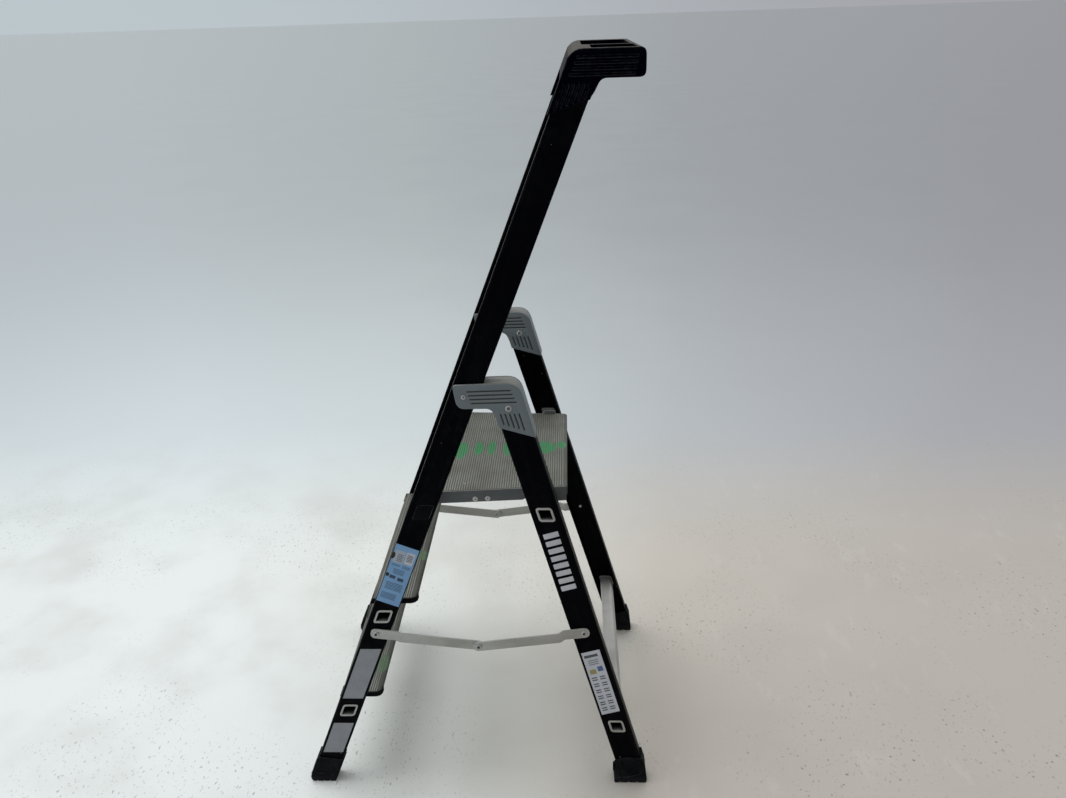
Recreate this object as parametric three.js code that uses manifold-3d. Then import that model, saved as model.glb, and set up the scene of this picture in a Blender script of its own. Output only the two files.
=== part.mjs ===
// Folding step ladder: front frame with two treads and a tray cap, rear frame on two
// moulded brackets, hinged platform and four spreader bars.
// Millimetres. +X points to the back of the ladder, +Y to the climber's left, +Z up.
import * as THREE from 'three';
import { mergeVertices } from 'three/addons/utils/BufferGeometryUtils.js';
import Module from 'manifold-3d';

const wasm = await Module();
wasm.setup();

// ---------------------------------------------------------------- driving dimensions
const CENTRE_X = 390; // middle of the footprint, measured from the front toe
const FLOOR_HALF_WIDTH = 281.5; // outer web plane at floor level
const TAPER = 0.057; // each web plane leans inward by this much per mm of height
const GAP = 0.3; // clearance between neighbouring pieces
const SIDES = { right: -1, left: 1 };

const CHANNEL_DEPTH = 28; // flange depth of both channel sections
const CHANNEL_WALL = 2.2;
const STILE = { footX: 25, lean: 22.0, width: 53.6, bottom: 17, top: 1508 };
const LEG = { footX: 755, lean: -15.35, width: 58, bottom: 16, top: 952 };

const FOLD_PIVOT = { x: 411.6, z: 957 };
const FOLD_ANGLE = 36.9;

const TREADS = [
  { name: 'tread_1', x: 108.6, z: 204.5, front: -19.5, rear: 68, apron: 34 },
  { name: 'tread_2', x: 209.4, z: 454.5, front: -26.5, rear: 67.5, apron: 54 },
];
const TREAD_TUBE = { width: 30, height: 27, wall: 2 };
const TREAD_TOP = 23; // tread surface above the centre of its tube
const TREAD_PLATE = 8.8;
const TREAD_INSET = 33; // tread ends stop this far inside the web plane
const CROSS_TUBES = [
  { name: 'rear_tube_lower', x: 710.7, z: 161.3 },
  { name: 'rear_tube_upper', x: 563.5, z: 697.6 },
];
const CROSS_TUBE = { width: 29, height: 27, wall: 2 };
const BEAD = { thick: 1.5, grow: 4.5 }; // rings pressed out of a tube on both faces of each web

const PLATFORM = { hingeX: 314, hingeZ: 704, top: 726, front: 298, rear: 608, under: 698 };
const PLATFORM_HALF = { atHinge: 197, slope: 0.0685 }; // outer face of the side plates
const PLATE = 3; // platform side plate thickness
const PLATE_RIVETS = { x: [416, 442], z: 705.5, radius: 2.4 };
const LUG = { from: 551, to: 580, top: 734 }; // raised part of a side plate above the rear tube

const BRACKET = { play: 1.6, plate: 4.6, groove: 1.2 }; // play: gap that lets the stile swing
const BRACKET_OUTER = -BRACKET.play - BRACKET.plate; // outside face, as a depth from the web
const BRACKET_INNER = CHANNEL_DEPTH + BRACKET.play + BRACKET.plate;

const SPREADER = { width: 24, thick: 3, frontX: 190.6, frontZ: 412.4, rearX: 639.2, rearZ: 413 };
const SPREADER_MIDDLE = { x: 412.3, z: 384.2 };
const CRANK = { from: 44, to: 54 }; // stretch of a bar in which it steps outward
const SPREADER_PLANE = FLOOR_HALF_WIDTH - TAPER * 398 + 0.5; // inner face of the bar ends
const LAYERS = { end: 0, front: 4.5, rear: 8 }; // bar offsets out from the spreader plane

const RIB_PITCH = 5;
const RIB_HEIGHT = 1.2;
const ARC_STEPS = 4;
const ROUND_STEPS = 16;

// ---------------------------------------------------------------- finishes
const FINISH = {
  blackPaint: { color: 0x1b1c1f, roughness: 0.42, metalness: 0.35 },
  aluminium: { color: 0xa8a59c, roughness: 0.45, metalness: 0.85 },
  brightMetal: { color: 0xd6d7d6, roughness: 0.3, metalness: 0.95 },
  greyPlastic: { color: 0x8c9091, roughness: 0.55, metalness: 0 },
  darkPlastic: { color: 0x696d70, roughness: 0.5, metalness: 0.1 },
  blackPlastic: { color: 0x1c1d1f, roughness: 0.6, metalness: 0 },
  rubber: { color: 0x202123, roughness: 0.85, metalness: 0 },
  greyLabel: { color: 0x9c9ca2, roughness: 0.6, metalness: 0 },
  blueLabel: { color: 0x86acd2, roughness: 0.45, metalness: 0 },
  whiteLabel: { color: 0xd9dadb, roughness: 0.5, metalness: 0 },
};

// ---------------------------------------------------------------- basic shapes

/** Turns a closed three.js geometry into a solid that can be cut and joined. */
function solid(geometry) {
  geometry.deleteAttribute('normal');
  geometry.deleteAttribute('uv');
  const merged = mergeVertices(geometry, 1e-4);
  return new wasm.Manifold(new wasm.Mesh({
    numProp: 3,
    vertProperties: new Float32Array(merged.attributes.position.array),
    triVerts: new Uint32Array(merged.index.array),
  }));
}

/** Closed outline through [x, y, radius] corners; a missing radius is a sharp corner. */
function outline(corners) {
  const shape = new THREE.Shape();
  corners.forEach(([x, y, radius = 0], index) => {
    const corner = new THREE.Vector2(x, y);
    const towards = (other) => new THREE.Vector2(other[0], other[1])
      .sub(corner).setLength(radius).add(corner);
    const start = towards(corners.at(index - 1));
    const end = towards(corners[(index + 1) % corners.length]);
    if (index === 0) shape.moveTo(start.x, start.y);
    else shape.lineTo(start.x, start.y);
    if (radius > 0) shape.quadraticCurveTo(x, y, end.x, end.y);
  });
  shape.closePath();
  return shape;
}

/** Extrudes an outline so that its x, y and depth run along the three given axes. */
function extrude(corners, depth, axisX, axisY, axisZ, origin) {
  const geometry = new THREE.ExtrudeGeometry(outline(corners), {
    depth, bevelEnabled: false, curveSegments: ARC_STEPS,
  });
  const frame = new THREE.Matrix4().makeBasis(
    new THREE.Vector3(...axisX), new THREE.Vector3(...axisY), new THREE.Vector3(...axisZ));
  geometry.applyMatrix4(frame.setPosition(...origin));
  return solid(geometry);
}

/** Prism of an X-Z outline between two Y values. */
function prism(corners, y0, y1) {
  return extrude(corners, y1 - y0, [1, 0, 0], [0, 0, 1], [0, -1, 0], [0, y1, 0]);
}

/** Prism of an X-Y outline between two heights. */
function upright(corners, z0, z1) {
  return extrude(corners, z1 - z0, [1, 0, 0], [0, 1, 0], [0, 0, 1], [0, 0, z0]);
}

/** Round bar along Y. */
function rod(radius, x, z, y0, y1) {
  const geometry = new THREE.CylinderGeometry(radius, radius, y1 - y0, ROUND_STEPS);
  geometry.translate(x, (y0 + y1) / 2, z);
  return solid(geometry);
}

/** Rivet or screw along Y: a domed head from y0 outward and a shank inward to y1. */
function rivet(x, z, headRadius, headHeight, shankRadius, y0, y1) {
  const profile = [[0, y1], [shankRadius, y1], [shankRadius, y0], [headRadius, y0],
    [headRadius, y0 - headHeight * 0.4], [headRadius * 0.62, y0 - headHeight * 0.9],
    [0, y0 - headHeight]];
  const points = profile.map(([r, y]) => new THREE.Vector2(r, y));
  const geometry = new THREE.LatheGeometry(points.reverse(), ROUND_STEPS);
  geometry.translate(x, 0, z);
  return solid(geometry);
}

/** Four corners of an upright window whose sides follow a leaning member. */
function window4(x, z, width, height, lean, radius) {
  const shift = Math.tan(THREE.MathUtils.degToRad(lean)) * height / 2;
  const [left, right] = [x - width / 2, x + width / 2];
  const [low, high] = [z - height / 2, z + height / 2];
  return [[left - shift, low, radius], [right - shift, low, radius],
    [right + shift, high, radius], [left + shift, high, radius]];
}

/** Puts a piece drawn against the web plane (y = depth inward) on one side. */
function onSide(piece, side) {
  return piece.transform([1, 0, 0, 0, 0, -side, 0, 0, 0, -side * TAPER, 1, 0,
    0, side * FLOOR_HALF_WIDTH, 0, 1]);
}

/** Mirrors a piece drawn on the right (-Y) side when the left side is wanted. */
function mirrored(piece, side) {
  return side < 0 ? piece : piece.mirror([0, 1, 0]);
}

/** Block filling the space between the two web planes, moved in by an inset. */
function betweenWebs(inset) {
  const height = 1700;
  const low = FLOOR_HALF_WIDTH - inset;
  const high = low - TAPER * height;
  return extrude([[-low, 0], [low, 0], [high, height], [-high, height]], 1000,
    [0, 1, 0], [0, 0, 1], [1, 0, 0], [-100, 0, 0]);
}

// ---------------------------------------------------------------- leaning channels

/** Horizontal position of a member's centre line at a height. */
function centreAt(member, z) {
  return member.footX + Math.tan(THREE.MathUtils.degToRad(member.lean)) * z;
}

/** Point given by distance across (u, to the back) and height along a member. */
function onMember(member, u, z) {
  const lean = THREE.MathUtils.degToRad(member.lean);
  return [centreAt(member, z) + u * Math.cos(lean), z - u * Math.sin(lean)];
}

/** Extrudes a (u, depth) section along a member between two heights. */
function along(member, section, z0, z1) {
  const lean = THREE.MathUtils.degToRad(member.lean);
  return extrude(section, (z1 - z0) / Math.cos(lean), [Math.cos(lean), 0, -Math.sin(lean)],
    [0, 1, 0], [Math.sin(lean), 0, Math.cos(lean)], [centreAt(member, z0), 0, z0]);
}

/** C section with its web on the outside and both flanges pointing inward. */
function channel(width) {
  const [half, inner] = [width / 2, width / 2 - CHANNEL_WALL];
  return [[-half, 0, 3], [half, 0, 3], [half, CHANNEL_DEPTH], [inner, CHANNEL_DEPTH],
    [inner, CHANNEL_WALL, 1], [-inner, CHANNEL_WALL, 1], [-inner, CHANNEL_DEPTH],
    [-half, CHANNEL_DEPTH]];
}

/** Full rectangle a channel occupies, grown by the clearance, for sockets. */
function socket(member, z0, z1) {
  const half = member.width / 2 + GAP;
  return along(member, [[-half, -GAP, 3], [half, -GAP, 3], [half, CHANNEL_DEPTH + GAP],
    [-half, CHANNEL_DEPTH + GAP]], z0, z1);
}

function stile() {
  let body = along(STILE, channel(STILE.width), STILE.bottom, STILE.top);
  for (const tread of TREADS) {
    body = body.subtract(tubeWindow(tread, TREAD_TUBE, STILE.lean));
  }
  body = body.subtract(prism(hingeBlockOutline(GAP), -5, 10));
  body = body.subtract(rod(4 + GAP, FOLD_PIVOT.x, FOLD_PIVOT.z, -5, 10));
  return body.subtract(rod(3 + GAP, SPREADER.frontX, SPREADER.frontZ, -5, 10));
}

function rearLeg() {
  let body = along(LEG, channel(LEG.width), LEG.bottom, LEG.top);
  for (const tube of CROSS_TUBES) {
    body = body.subtract(tubeWindow(tube, CROSS_TUBE, LEG.lean));
  }
  const [screwX, screwZ] = bracketScrewAt();
  body = body.subtract(rod(3 + GAP, screwX, screwZ, -5, 10));
  return body.subtract(rod(3 + GAP, SPREADER.rearX, SPREADER.rearZ, -5, 10));
}

// ---------------------------------------------------------------- tubes and treads

/** Clearance volume around a tube, long enough to cut a web or a whole tread cap. */
function tubeWindow(at, size, lean, reach = 10) {
  const grown = window4(at.x, at.z, size.width + 2 * GAP, size.height + 2 * GAP, lean, 4);
  return prism(grown, -reach, reach);
}

/** Tube that passes through both webs and is pressed out into a bead on each face of them. */
function crossTube(at, size, lean) {
  const skin = prism(window4(at.x, at.z, size.width, size.height, lean, 4), -300, 300);
  let body = skin.intersect(betweenWebs(-BEAD.thick));
  const bead = window4(at.x, at.z, size.width + BEAD.grow, size.height + BEAD.grow, lean, 7);
  const outside = prism(bead, -GAP - BEAD.thick, -GAP);
  const inside = outside.translate([0, CHANNEL_WALL + 2 * GAP + BEAD.thick, 0]);
  for (const side of Object.values(SIDES)) {
    body = body.add(onSide(outside, side)).add(onSide(inside, side));
  }
  const { width, height, wall } = size;
  const bore = window4(at.x, at.z, width - 2 * wall, height - 2 * wall, lean, 3);
  return body.subtract(prism(bore, -320, 320));
}

/** Top line of a ribbed surface from x0 to x1, ribs standing on height z. */
function ribs(x0, x1, z) {
  const count = Math.floor((x1 - x0) / RIB_PITCH);
  const line = [];
  for (let i = 0; i < count; i += 1) {
    const x = x0 + i * RIB_PITCH;
    line.push([x, z], [x + 0.5, z + RIB_HEIGHT], [x + 3, z + RIB_HEIGHT], [x + 3.5, z]);
  }
  return line;
}

/** Ribbed extrusion with a front apron that follows the stile and a rounded back lip. */
function tread(at) {
  const [front, rear, top] = [at.x + at.front, at.x + at.rear, at.z + TREAD_TOP];
  const slope = Math.tan(THREE.MathUtils.degToRad(STILE.lean));
  const under = top - TREAD_PLATE;
  const base = top - RIB_HEIGHT;
  const section = [
    [front - slope * at.apron, top - at.apron], [front + 3 - slope * at.apron, top - at.apron],
    [front + 3 - slope * TREAD_PLATE, under], [rear - 4, under], [rear - 4, top - 13],
    [rear, top - 13, 1], [rear, base, 5],
    ...ribs(front + 5, rear - 7, base).reverse(), [front, base, 2],
  ];
  return prism(section, -300, 300).intersect(treadPlan(at, 0));
}

/** Space a tread fills seen from above, grown outward; its back corners are rounded. */
function treadPlan(at, grow) {
  const end = FLOOR_HALF_WIDTH - TAPER * (at.z + TREAD_TOP) - TREAD_INSET + grow;
  const [front, rear] = [at.x - 100, at.x + at.rear + grow];
  return upright([[front, -end], [rear, -end, 18], [rear, end, 18], [front, end]],
    at.z - 60, at.z + 60);
}

/** Block over the top edge band of a tread, grown outward; its front follows the stile. */
function treadBand(at, grow, z0, z1) {
  const slope = Math.tan(THREE.MathUtils.degToRad(STILE.lean));
  const top = at.z + TREAD_TOP;
  const frontAt = (z) => at.x + at.front - slope * (top - z) - grow;
  const rear = at.x + at.rear + grow;
  return prism([[frontAt(z0), z0], [rear, z0], [rear, z1], [frontAt(z1), z1]], -300, 300)
    .intersect(treadPlan(at, grow));
}

/** Thin moulded trim that wraps the end of a tread and both of its corners. */
function treadCap(at, side) {
  const top = at.z + TREAD_TOP;
  const end = FLOOR_HALF_WIDTH - TAPER * top - TREAD_INSET;
  const keep = upright([[0, end - 20], [400, end - 20], [400, end + 10], [0, end + 10]],
    top - 20, top + 5);
  return treadBand(at, 2.4, top - 14, top - 1.6).subtract(treadBand(at, GAP, top - 20, top + 5))
    .subtract(tubeWindow(at, TREAD_TUBE, STILE.lean, 300))
    .intersect(side > 0 ? keep : keep.mirror([0, 1, 0]));
}

// ---------------------------------------------------------------- feet

const SHOE = { outer: -3, inner: 31 }; // faces of every shoe, as depths from the web
const SOLE_GROOVE = { wide: 6, deep: 3 };
const FRONT_SHOE = {
  toe: -1, toeTop: 16, sole: [2, 57], soleGrooves: [10, 27, 44],
  collar: 60, step: 72, heelTop: 96, heel: 29.5,
};
const REAR_SHOE = {
  front: 706, frontTop: 12, sole: 780, bulge: [780.7, 10], step: [776.7, 46],
  heelTop: 64, heel: 33, collar: [56, 73], soleGrooves: [716, 736, 756],
  toe: { from: 704, to: 722, top: 30, narrow: 714, depth: 20 },
};

/** Finishes a shoe: a socket for its channel and shallow grooves across the sole. */
function shod(body, member, grooves) {
  const { wide, deep } = SOLE_GROOVE;
  const cut = prism([[0, -1], [wide, -1], [wide, deep], [0, deep]], -5, 40);
  return grooves.reduce((rest, x) => rest.subtract(cut.translate([x, 0, 0])),
    body.subtract(socket(member, member.bottom, 200)));
}

function frontFoot() {
  const { toe, toeTop, sole, soleGrooves, collar, step, heelTop, heel } = FRONT_SHOE;
  const half = STILE.width / 2;
  const body = prism([[sole[0], 0, 4], [sole[1], 0, 3], onMember(STILE, heel, toeTop + 14),
    onMember(STILE, heel, heelTop), onMember(STILE, half + 0.4, heelTop),
    onMember(STILE, half - 0.6, step), onMember(STILE, -half - 2.2, collar),
    [toe, toeTop, 3]], SHOE.outer, SHOE.inner);
  return shod(body, STILE, soleGrooves);
}

function rearFoot() {
  const { front, frontTop, sole, bulge, step, heelTop, heel, collar, soleGrooves } = REAR_SHOE;
  const half = LEG.width / 2;
  const shell = prism([[front, 0, 3], [sole, 0, 3], [...bulge, 3], [...step, 3],
    onMember(LEG, heel, heelTop), onMember(LEG, half, heelTop),
    onMember(LEG, half - 0.5, collar[0]), onMember(LEG, -half - 1.5, collar[1]),
    onMember(LEG, -half - 1.5, frontTop + 10), [front, frontTop, 2]], SHOE.outer, SHOE.inner);
  const { from, to, top, narrow, depth } = REAR_SHOE.toe;
  const toe = prism([[from, 0, 2], [to, 0], [narrow, top], [from, top, 2]], depth, SHOE.inner);
  return shod(shell.add(toe), LEG, soleGrooves);
}

// ---------------------------------------------------------------- tray cap

const CAP = {
  halfWidth: 203, top: 1570, floor: 1523, rear: 751, sleeveTop: 1514, skirt: 1519,
  sleeveFront: 1454, sleeveRear: 1500, // the sleeves end on a slant, lower in front
};
const CAP_RIBS = { rows: 4, pitch: 8.7, high: 4.6, deep: 1.2 }; // level grooves on the tray's sides
const SLEEVE_RIBS = { count: 6, pitch: 8.2, wide: 4.4, deep: 1, from: 1474, climb: 4.6, to: 1516 };
const COMPARTMENTS = [
  { x: [646, 735], y: [-42, 168], floor: 1534 },
  { x: [660, 738], y: [-188, -56], floor: 1540 },
];
const UNDER_TRAY = { x: [684, 740], halfWidth: 155, roof: 1531 };

/** Side view of the whole cap: tray box with the sleeve running down the stile. */
function capProfile() {
  return [onMember(STILE, -31, CAP.sleeveFront), onMember(STILE, -31, 1545),
    [632, CAP.top, 14], [CAP.rear, CAP.top, 11], [CAP.rear, CAP.floor, 11],
    [676, CAP.floor, 10], onMember(STILE, 31, CAP.sleeveRear + 14),
    onMember(STILE, 28.5, CAP.sleeveRear + 4), onMember(STILE, 28.5, CAP.sleeveRear)];
}

/** Straight grooves pressed into the outer faces of the cap. */
function capGrooves() {
  const cuts = [];
  for (let row = 0; row < CAP_RIBS.rows; row += 1) {
    const high = 1558 - row * CAP_RIBS.pitch;
    const low = high - CAP_RIBS.high;
    const [x0, x1] = [637 - row * 4, 738 - row * 2];
    cuts.push(prism([[x0, low, 1], [x1, low, 1], [x1, high, 1], [x0, high, 1]], -1,
      CAP_RIBS.deep));
  }
  const { count, pitch, wide, deep, from, climb, to } = SLEEVE_RIBS;
  for (let rib = 0; rib < count; rib += 1) {
    const u = -22 + rib * pitch;
    const low = from + rib * climb;
    cuts.push(prism([onMember(STILE, u, low), onMember(STILE, u + wide, low),
      onMember(STILE, u + wide, to), onMember(STILE, u, to)], -1, deep));
  }
  return cuts;
}

/** Space between the two sleeves: behind the short front skirt and open below it. */
function skirtHollow() {
  const front = -STILE.width / 2;
  return prism([[500, 1400], [500, CAP.skirt], onMember(STILE, front, CAP.skirt - 10),
    onMember(STILE, front, CAP.sleeveTop), [660, 1526], [800, 1526], [800, 1400]], -163, 163);
}

function topCap() {
  const { halfWidth, top, floor } = CAP;
  let body = prism(capProfile(), -halfWidth, halfWidth).subtract(skirtHollow());
  for (const { x: [x0, x1], y: [y0, y1], floor: bottom } of COMPARTMENTS) {
    body = body.subtract(upright([[x0, y0, 8], [x1, y0, 8], [x1, y1, 8], [x0, y1, 8]],
      bottom, top + 5));
  }
  const { x: [x0, x1], halfWidth: half, roof } = UNDER_TRAY;
  body = body.subtract(prism([[x0, floor - 5], [x1, floor - 5], [x1, roof], [x0, roof]],
    -half, half));
  for (const side of Object.values(SIDES)) {
    for (const cut of capGrooves()) {
      body = body.subtract(side < 0 ? cut.translate([0, -halfWidth, 0])
        : cut.mirror([0, 1, 0]).translate([0, halfWidth, 0]));
    }
    body = body.subtract(onSide(socket(STILE, 1400, STILE.top + GAP), side));
  }
  return body;
}

// ---------------------------------------------------------------- folding brackets

function bracketScrewAt() {
  return onMember(LEG, -1, 933);
}

const BRACKET_ARM = { front: 391, rear: 519, top: 981, rearTop: 984, under: 932, armpit: 464 };
const BRACKET_LEG = { half: 31.5, rearEnd: 862, frontEnd: 900, frontTop: 922 };
const ARM_GROOVES = { rows: 4, pitch: 8, half: 1.3, top: 967.5, from: 419, to: 503 };
const LEG_GROOVES = { rows: 5, pitch: 9, half: 1.5, from: 482, top: 922, short: 21, longer: 3 };

/** Side view of the bracket plates: an arm over the stile and a leg over the rear leg. */
function bracketPlate() {
  const { front, rear, top, rearTop, under, armpit } = BRACKET_ARM;
  const { half, rearEnd, frontEnd, frontTop } = BRACKET_LEG;
  return [[front, top, 8], [rear, rearTop, 26], onMember(LEG, half, rearEnd),
    onMember(LEG, -half, frontEnd), [...onMember(LEG, -half, frontTop), 6],
    [armpit, under, 10], [front + 7, under, 16]];
}

/** Grooves of one bracket face, cut between two depths: level ones, then leaning ones. */
function bracketGrooves(y0, y1) {
  const cuts = [];
  for (let row = 0; row < ARM_GROOVES.rows; row += 1) {
    const { pitch, half, top, from, to } = ARM_GROOVES;
    const [x0, x1, z] = [from + row * 2.2, to + row * 3.6, top - row * pitch];
    cuts.push(prism([[x0, z - half], [x1, z - half], [x1, z + half], [x0, z + half]], y0, y1));
  }
  const slope = -Math.tan(THREE.MathUtils.degToRad(LEG.lean));
  for (let row = 0; row < LEG_GROOVES.rows; row += 1) {
    const { pitch, half, from, top, short, longer } = LEG_GROOVES;
    const x = from + row * pitch;
    const drop = short + row * longer;
    const foot = x + drop * slope;
    cuts.push(prism([[x - half, top], [x + half, top], [foot + half, top - drop],
      [foot - half, top - drop]], y0, y1));
  }
  return cuts;
}

/** Part of the bracket between its plates: clear of the stile open and folded. */
function bracketCore() {
  const open = along(STILE, [[28.2, -6], [200, -6], [200, 40], [28.2, 40]], 700, 1200);
  const pivot = [FOLD_PIVOT.x, 0, FOLD_PIVOT.z];
  const folded = open.translate(pivot.map((v) => -v)).rotate([0, -FOLD_ANGLE, 0])
    .translate(pivot);
  return prism(bracketPlate(), -BRACKET.play - 0.1, CHANNEL_DEPTH + BRACKET.play + 0.1)
    .intersect(open).intersect(folded);
}

function bracket() {
  let body = prism(bracketPlate(), BRACKET_OUTER, -BRACKET.play).add(bracketCore())
    .add(prism(bracketPlate(), CHANNEL_DEPTH + BRACKET.play, BRACKET_INNER));
  body = body.subtract(socket(LEG, 800, LEG.top + GAP));
  body = body.subtract(rod(4 + GAP, FOLD_PIVOT.x, FOLD_PIVOT.z, -10, 40));
  const [screwX, screwZ] = bracketScrewAt();
  body = body.subtract(rod(3 + GAP, screwX, screwZ, -10, 4));
  const outside = bracketGrooves(BRACKET_OUTER - 1, BRACKET_OUTER + BRACKET.groove);
  const inside = bracketGrooves(BRACKET_INNER - BRACKET.groove, BRACKET_INNER + 1);
  return [...outside, ...inside].reduce((rest, cut) => rest.subtract(cut), body);
}

// ---------------------------------------------------------------- platform

function hingeBlockOutline(grow) {
  return window4(PLATFORM.hingeX, PLATFORM.hingeZ + 0.5, 34 + 2 * grow, 32 + 2 * grow,
    STILE.lean, 3);
}

/** Bearing block in the stile that holds the platform's hinge pin. */
function hingeBlock() {
  const body = prism(hingeBlockOutline(0), -0.6, 36.5);
  return body.subtract(rod(6 + GAP, PLATFORM.hingeX, PLATFORM.hingeZ, 12, 40));
}

/** Moves a piece drawn at y = 0 outward face onto a tapering platform side. */
function onPlatformSide(piece, side) {
  const { atHinge, slope } = PLATFORM_HALF;
  const reach = atHinge + slope * PLATFORM.hingeX;
  return piece.transform([1, -side * slope, 0, 0, 0, -side, 0, 0, 0, 0, 1, 0,
    0, side * reach, 0, 1]);
}

/** Side plate with the hinge ear in front and the hook over the rear tube behind. */
function platformSide() {
  const { hingeX, hingeZ, top, rear, under } = PLATFORM;
  const body = prism([[hingeX - 13, top - 1, 3], [LUG.from, top - 1], [LUG.from + 2, LUG.top, 4],
    [LUG.to - 2, LUG.top, 4], [LUG.to, top - 1], [rear - 2, top - 1, 4], [rear - 2, 692, 4],
    [584, 692, 2], [577.5, 711.7], [541, 711.7], [514, under], [334, under, 6],
    [325, 691, 6], [hingeX - 11, 691, 8]], 0, PLATE);
  const { x, z, radius } = PLATE_RIVETS;
  return x.reduce((cut, at) => cut.subtract(rod(radius + GAP, at, z, -5, 10)), body)
    .subtract(rod(6 + GAP, hingeX, hingeZ, -5, 10));
}

function platformDeck() {
  const { top, front, rear } = PLATFORM;
  const base = top - RIB_HEIGHT;
  const section = [[front, top - 8, 3], [front, base, 3], ...ribs(front + 4, rear - 5, base),
    [rear, base, 3], [rear, 704, 1], [rear - 3, 704, 1], [rear - 3, top - 5.6],
    [front + 6, top - 5.6], [front + 6, top - 8]];
  const { atHinge, slope } = PLATFORM_HALF;
  const half = (x) => atHinge - slope * (x - PLATFORM.hingeX) - PLATE - GAP;
  const plan = [[front - 1, -half(front)], [rear, -half(rear)], [rear, half(rear)],
    [front - 1, half(front)]];
  return prism(section, -250, 250).intersect(upright(plan, 690, top + 5));
}

// ---------------------------------------------------------------- spreaders

/** Flat bar with round ends that steps outward near its first end. */
function strap(from, to, layer) {
  const { width, thick } = SPREADER;
  const [dx, dz] = [to.x - from.x, to.z - from.z];
  const length = Math.hypot(dx, dz);
  const axis = [dx / length, 0, dz / length];
  const [near, far] = [SPREADER_PLANE + LAYERS.end, SPREADER_PLANE + layer];
  const end = length + width;
  const profile = [[-width, -near], [CRANK.from, -near], [CRANK.to, -far], [end, -far],
    [end, -far - thick], [CRANK.to - 1, -far - thick], [CRANK.from - 1, -near - thick],
    [-width, -near - thick]];
  const across = [-axis[2], 0, axis[0]];
  const r = width / 2;
  const corner = [from.x - across[0] * r, 0, from.z - across[2] * r];
  const bent = extrude(profile, width, axis, [0, 1, 0], across, corner);
  const rounded = [[-r, -r, r], [length + r, -r, r], [length + r, r, r], [-r, r, r]];
  return bent.intersect(extrude(rounded, 400, axis, across, [0, -1, 0], [from.x, 0, from.z]));
}

function frontSpreader() {
  const bar = strap({ x: SPREADER.frontX, z: SPREADER.frontZ }, SPREADER_MIDDLE, LAYERS.front);
  return bar.subtract(rod(3 + GAP, SPREADER.frontX, SPREADER.frontZ, -300, -200));
}

function rearSpreader() {
  const bar = strap({ x: SPREADER.rearX, z: SPREADER.rearZ }, SPREADER_MIDDLE, LAYERS.rear);
  return bar.subtract(rod(3 + GAP, SPREADER.rearX, SPREADER.rearZ, -300, -200))
    .subtract(rod(3 + GAP, SPREADER_MIDDLE.x, SPREADER_MIDDLE.z, -300, -200));
}

/** Rivet that holds one end of a spreader bar to its web. */
function spreaderRivet(x, z) {
  const face = -(SPREADER_PLANE + LAYERS.end + SPREADER.thick + GAP);
  return rivet(x, z, 7, 2.4, 3, face, face + 12);
}

/** Head of the middle rivet; its shank stays inside the rear bar. */
function middleRivet() {
  const face = -(SPREADER_PLANE + LAYERS.rear + SPREADER.thick + GAP);
  return rivet(SPREADER_MIDDLE.x, SPREADER_MIDDLE.z, 6.5, 2.4, 3, face, face + 3.2);
}

// ---------------------------------------------------------------- labels

/** Thin label on the outer web face, its ends level or square to the member. */
function memberLabel(member, [u0, u1], [z0, z1], level) {
  const at = (u, z) => (level ? [centreAt(member, z) + u, z] : onMember(member, u, z));
  return prism([at(u0, z0), at(u1, z0), at(u1, z1), at(u0, z1)], -0.5, -0.15);
}

// ---------------------------------------------------------------- assembly

const ladder = new THREE.Group();
ladder.name = 'step_ladder';

/** Adds one finished solid to the ladder under its own name. */
function addPiece(name, body, finish) {
  const mesh = body.translate([-CENTRE_X, 0, 0]).getMesh();
  const geometry = new THREE.BufferGeometry();
  geometry.setAttribute('position', new THREE.BufferAttribute(mesh.vertProperties, 3));
  geometry.setIndex(new THREE.BufferAttribute(mesh.triVerts, 1));
  geometry.computeVertexNormals();
  const piece = new THREE.Mesh(geometry, new THREE.MeshStandardMaterial(finish));
  piece.name = name;
  ladder.add(piece);
}

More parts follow.
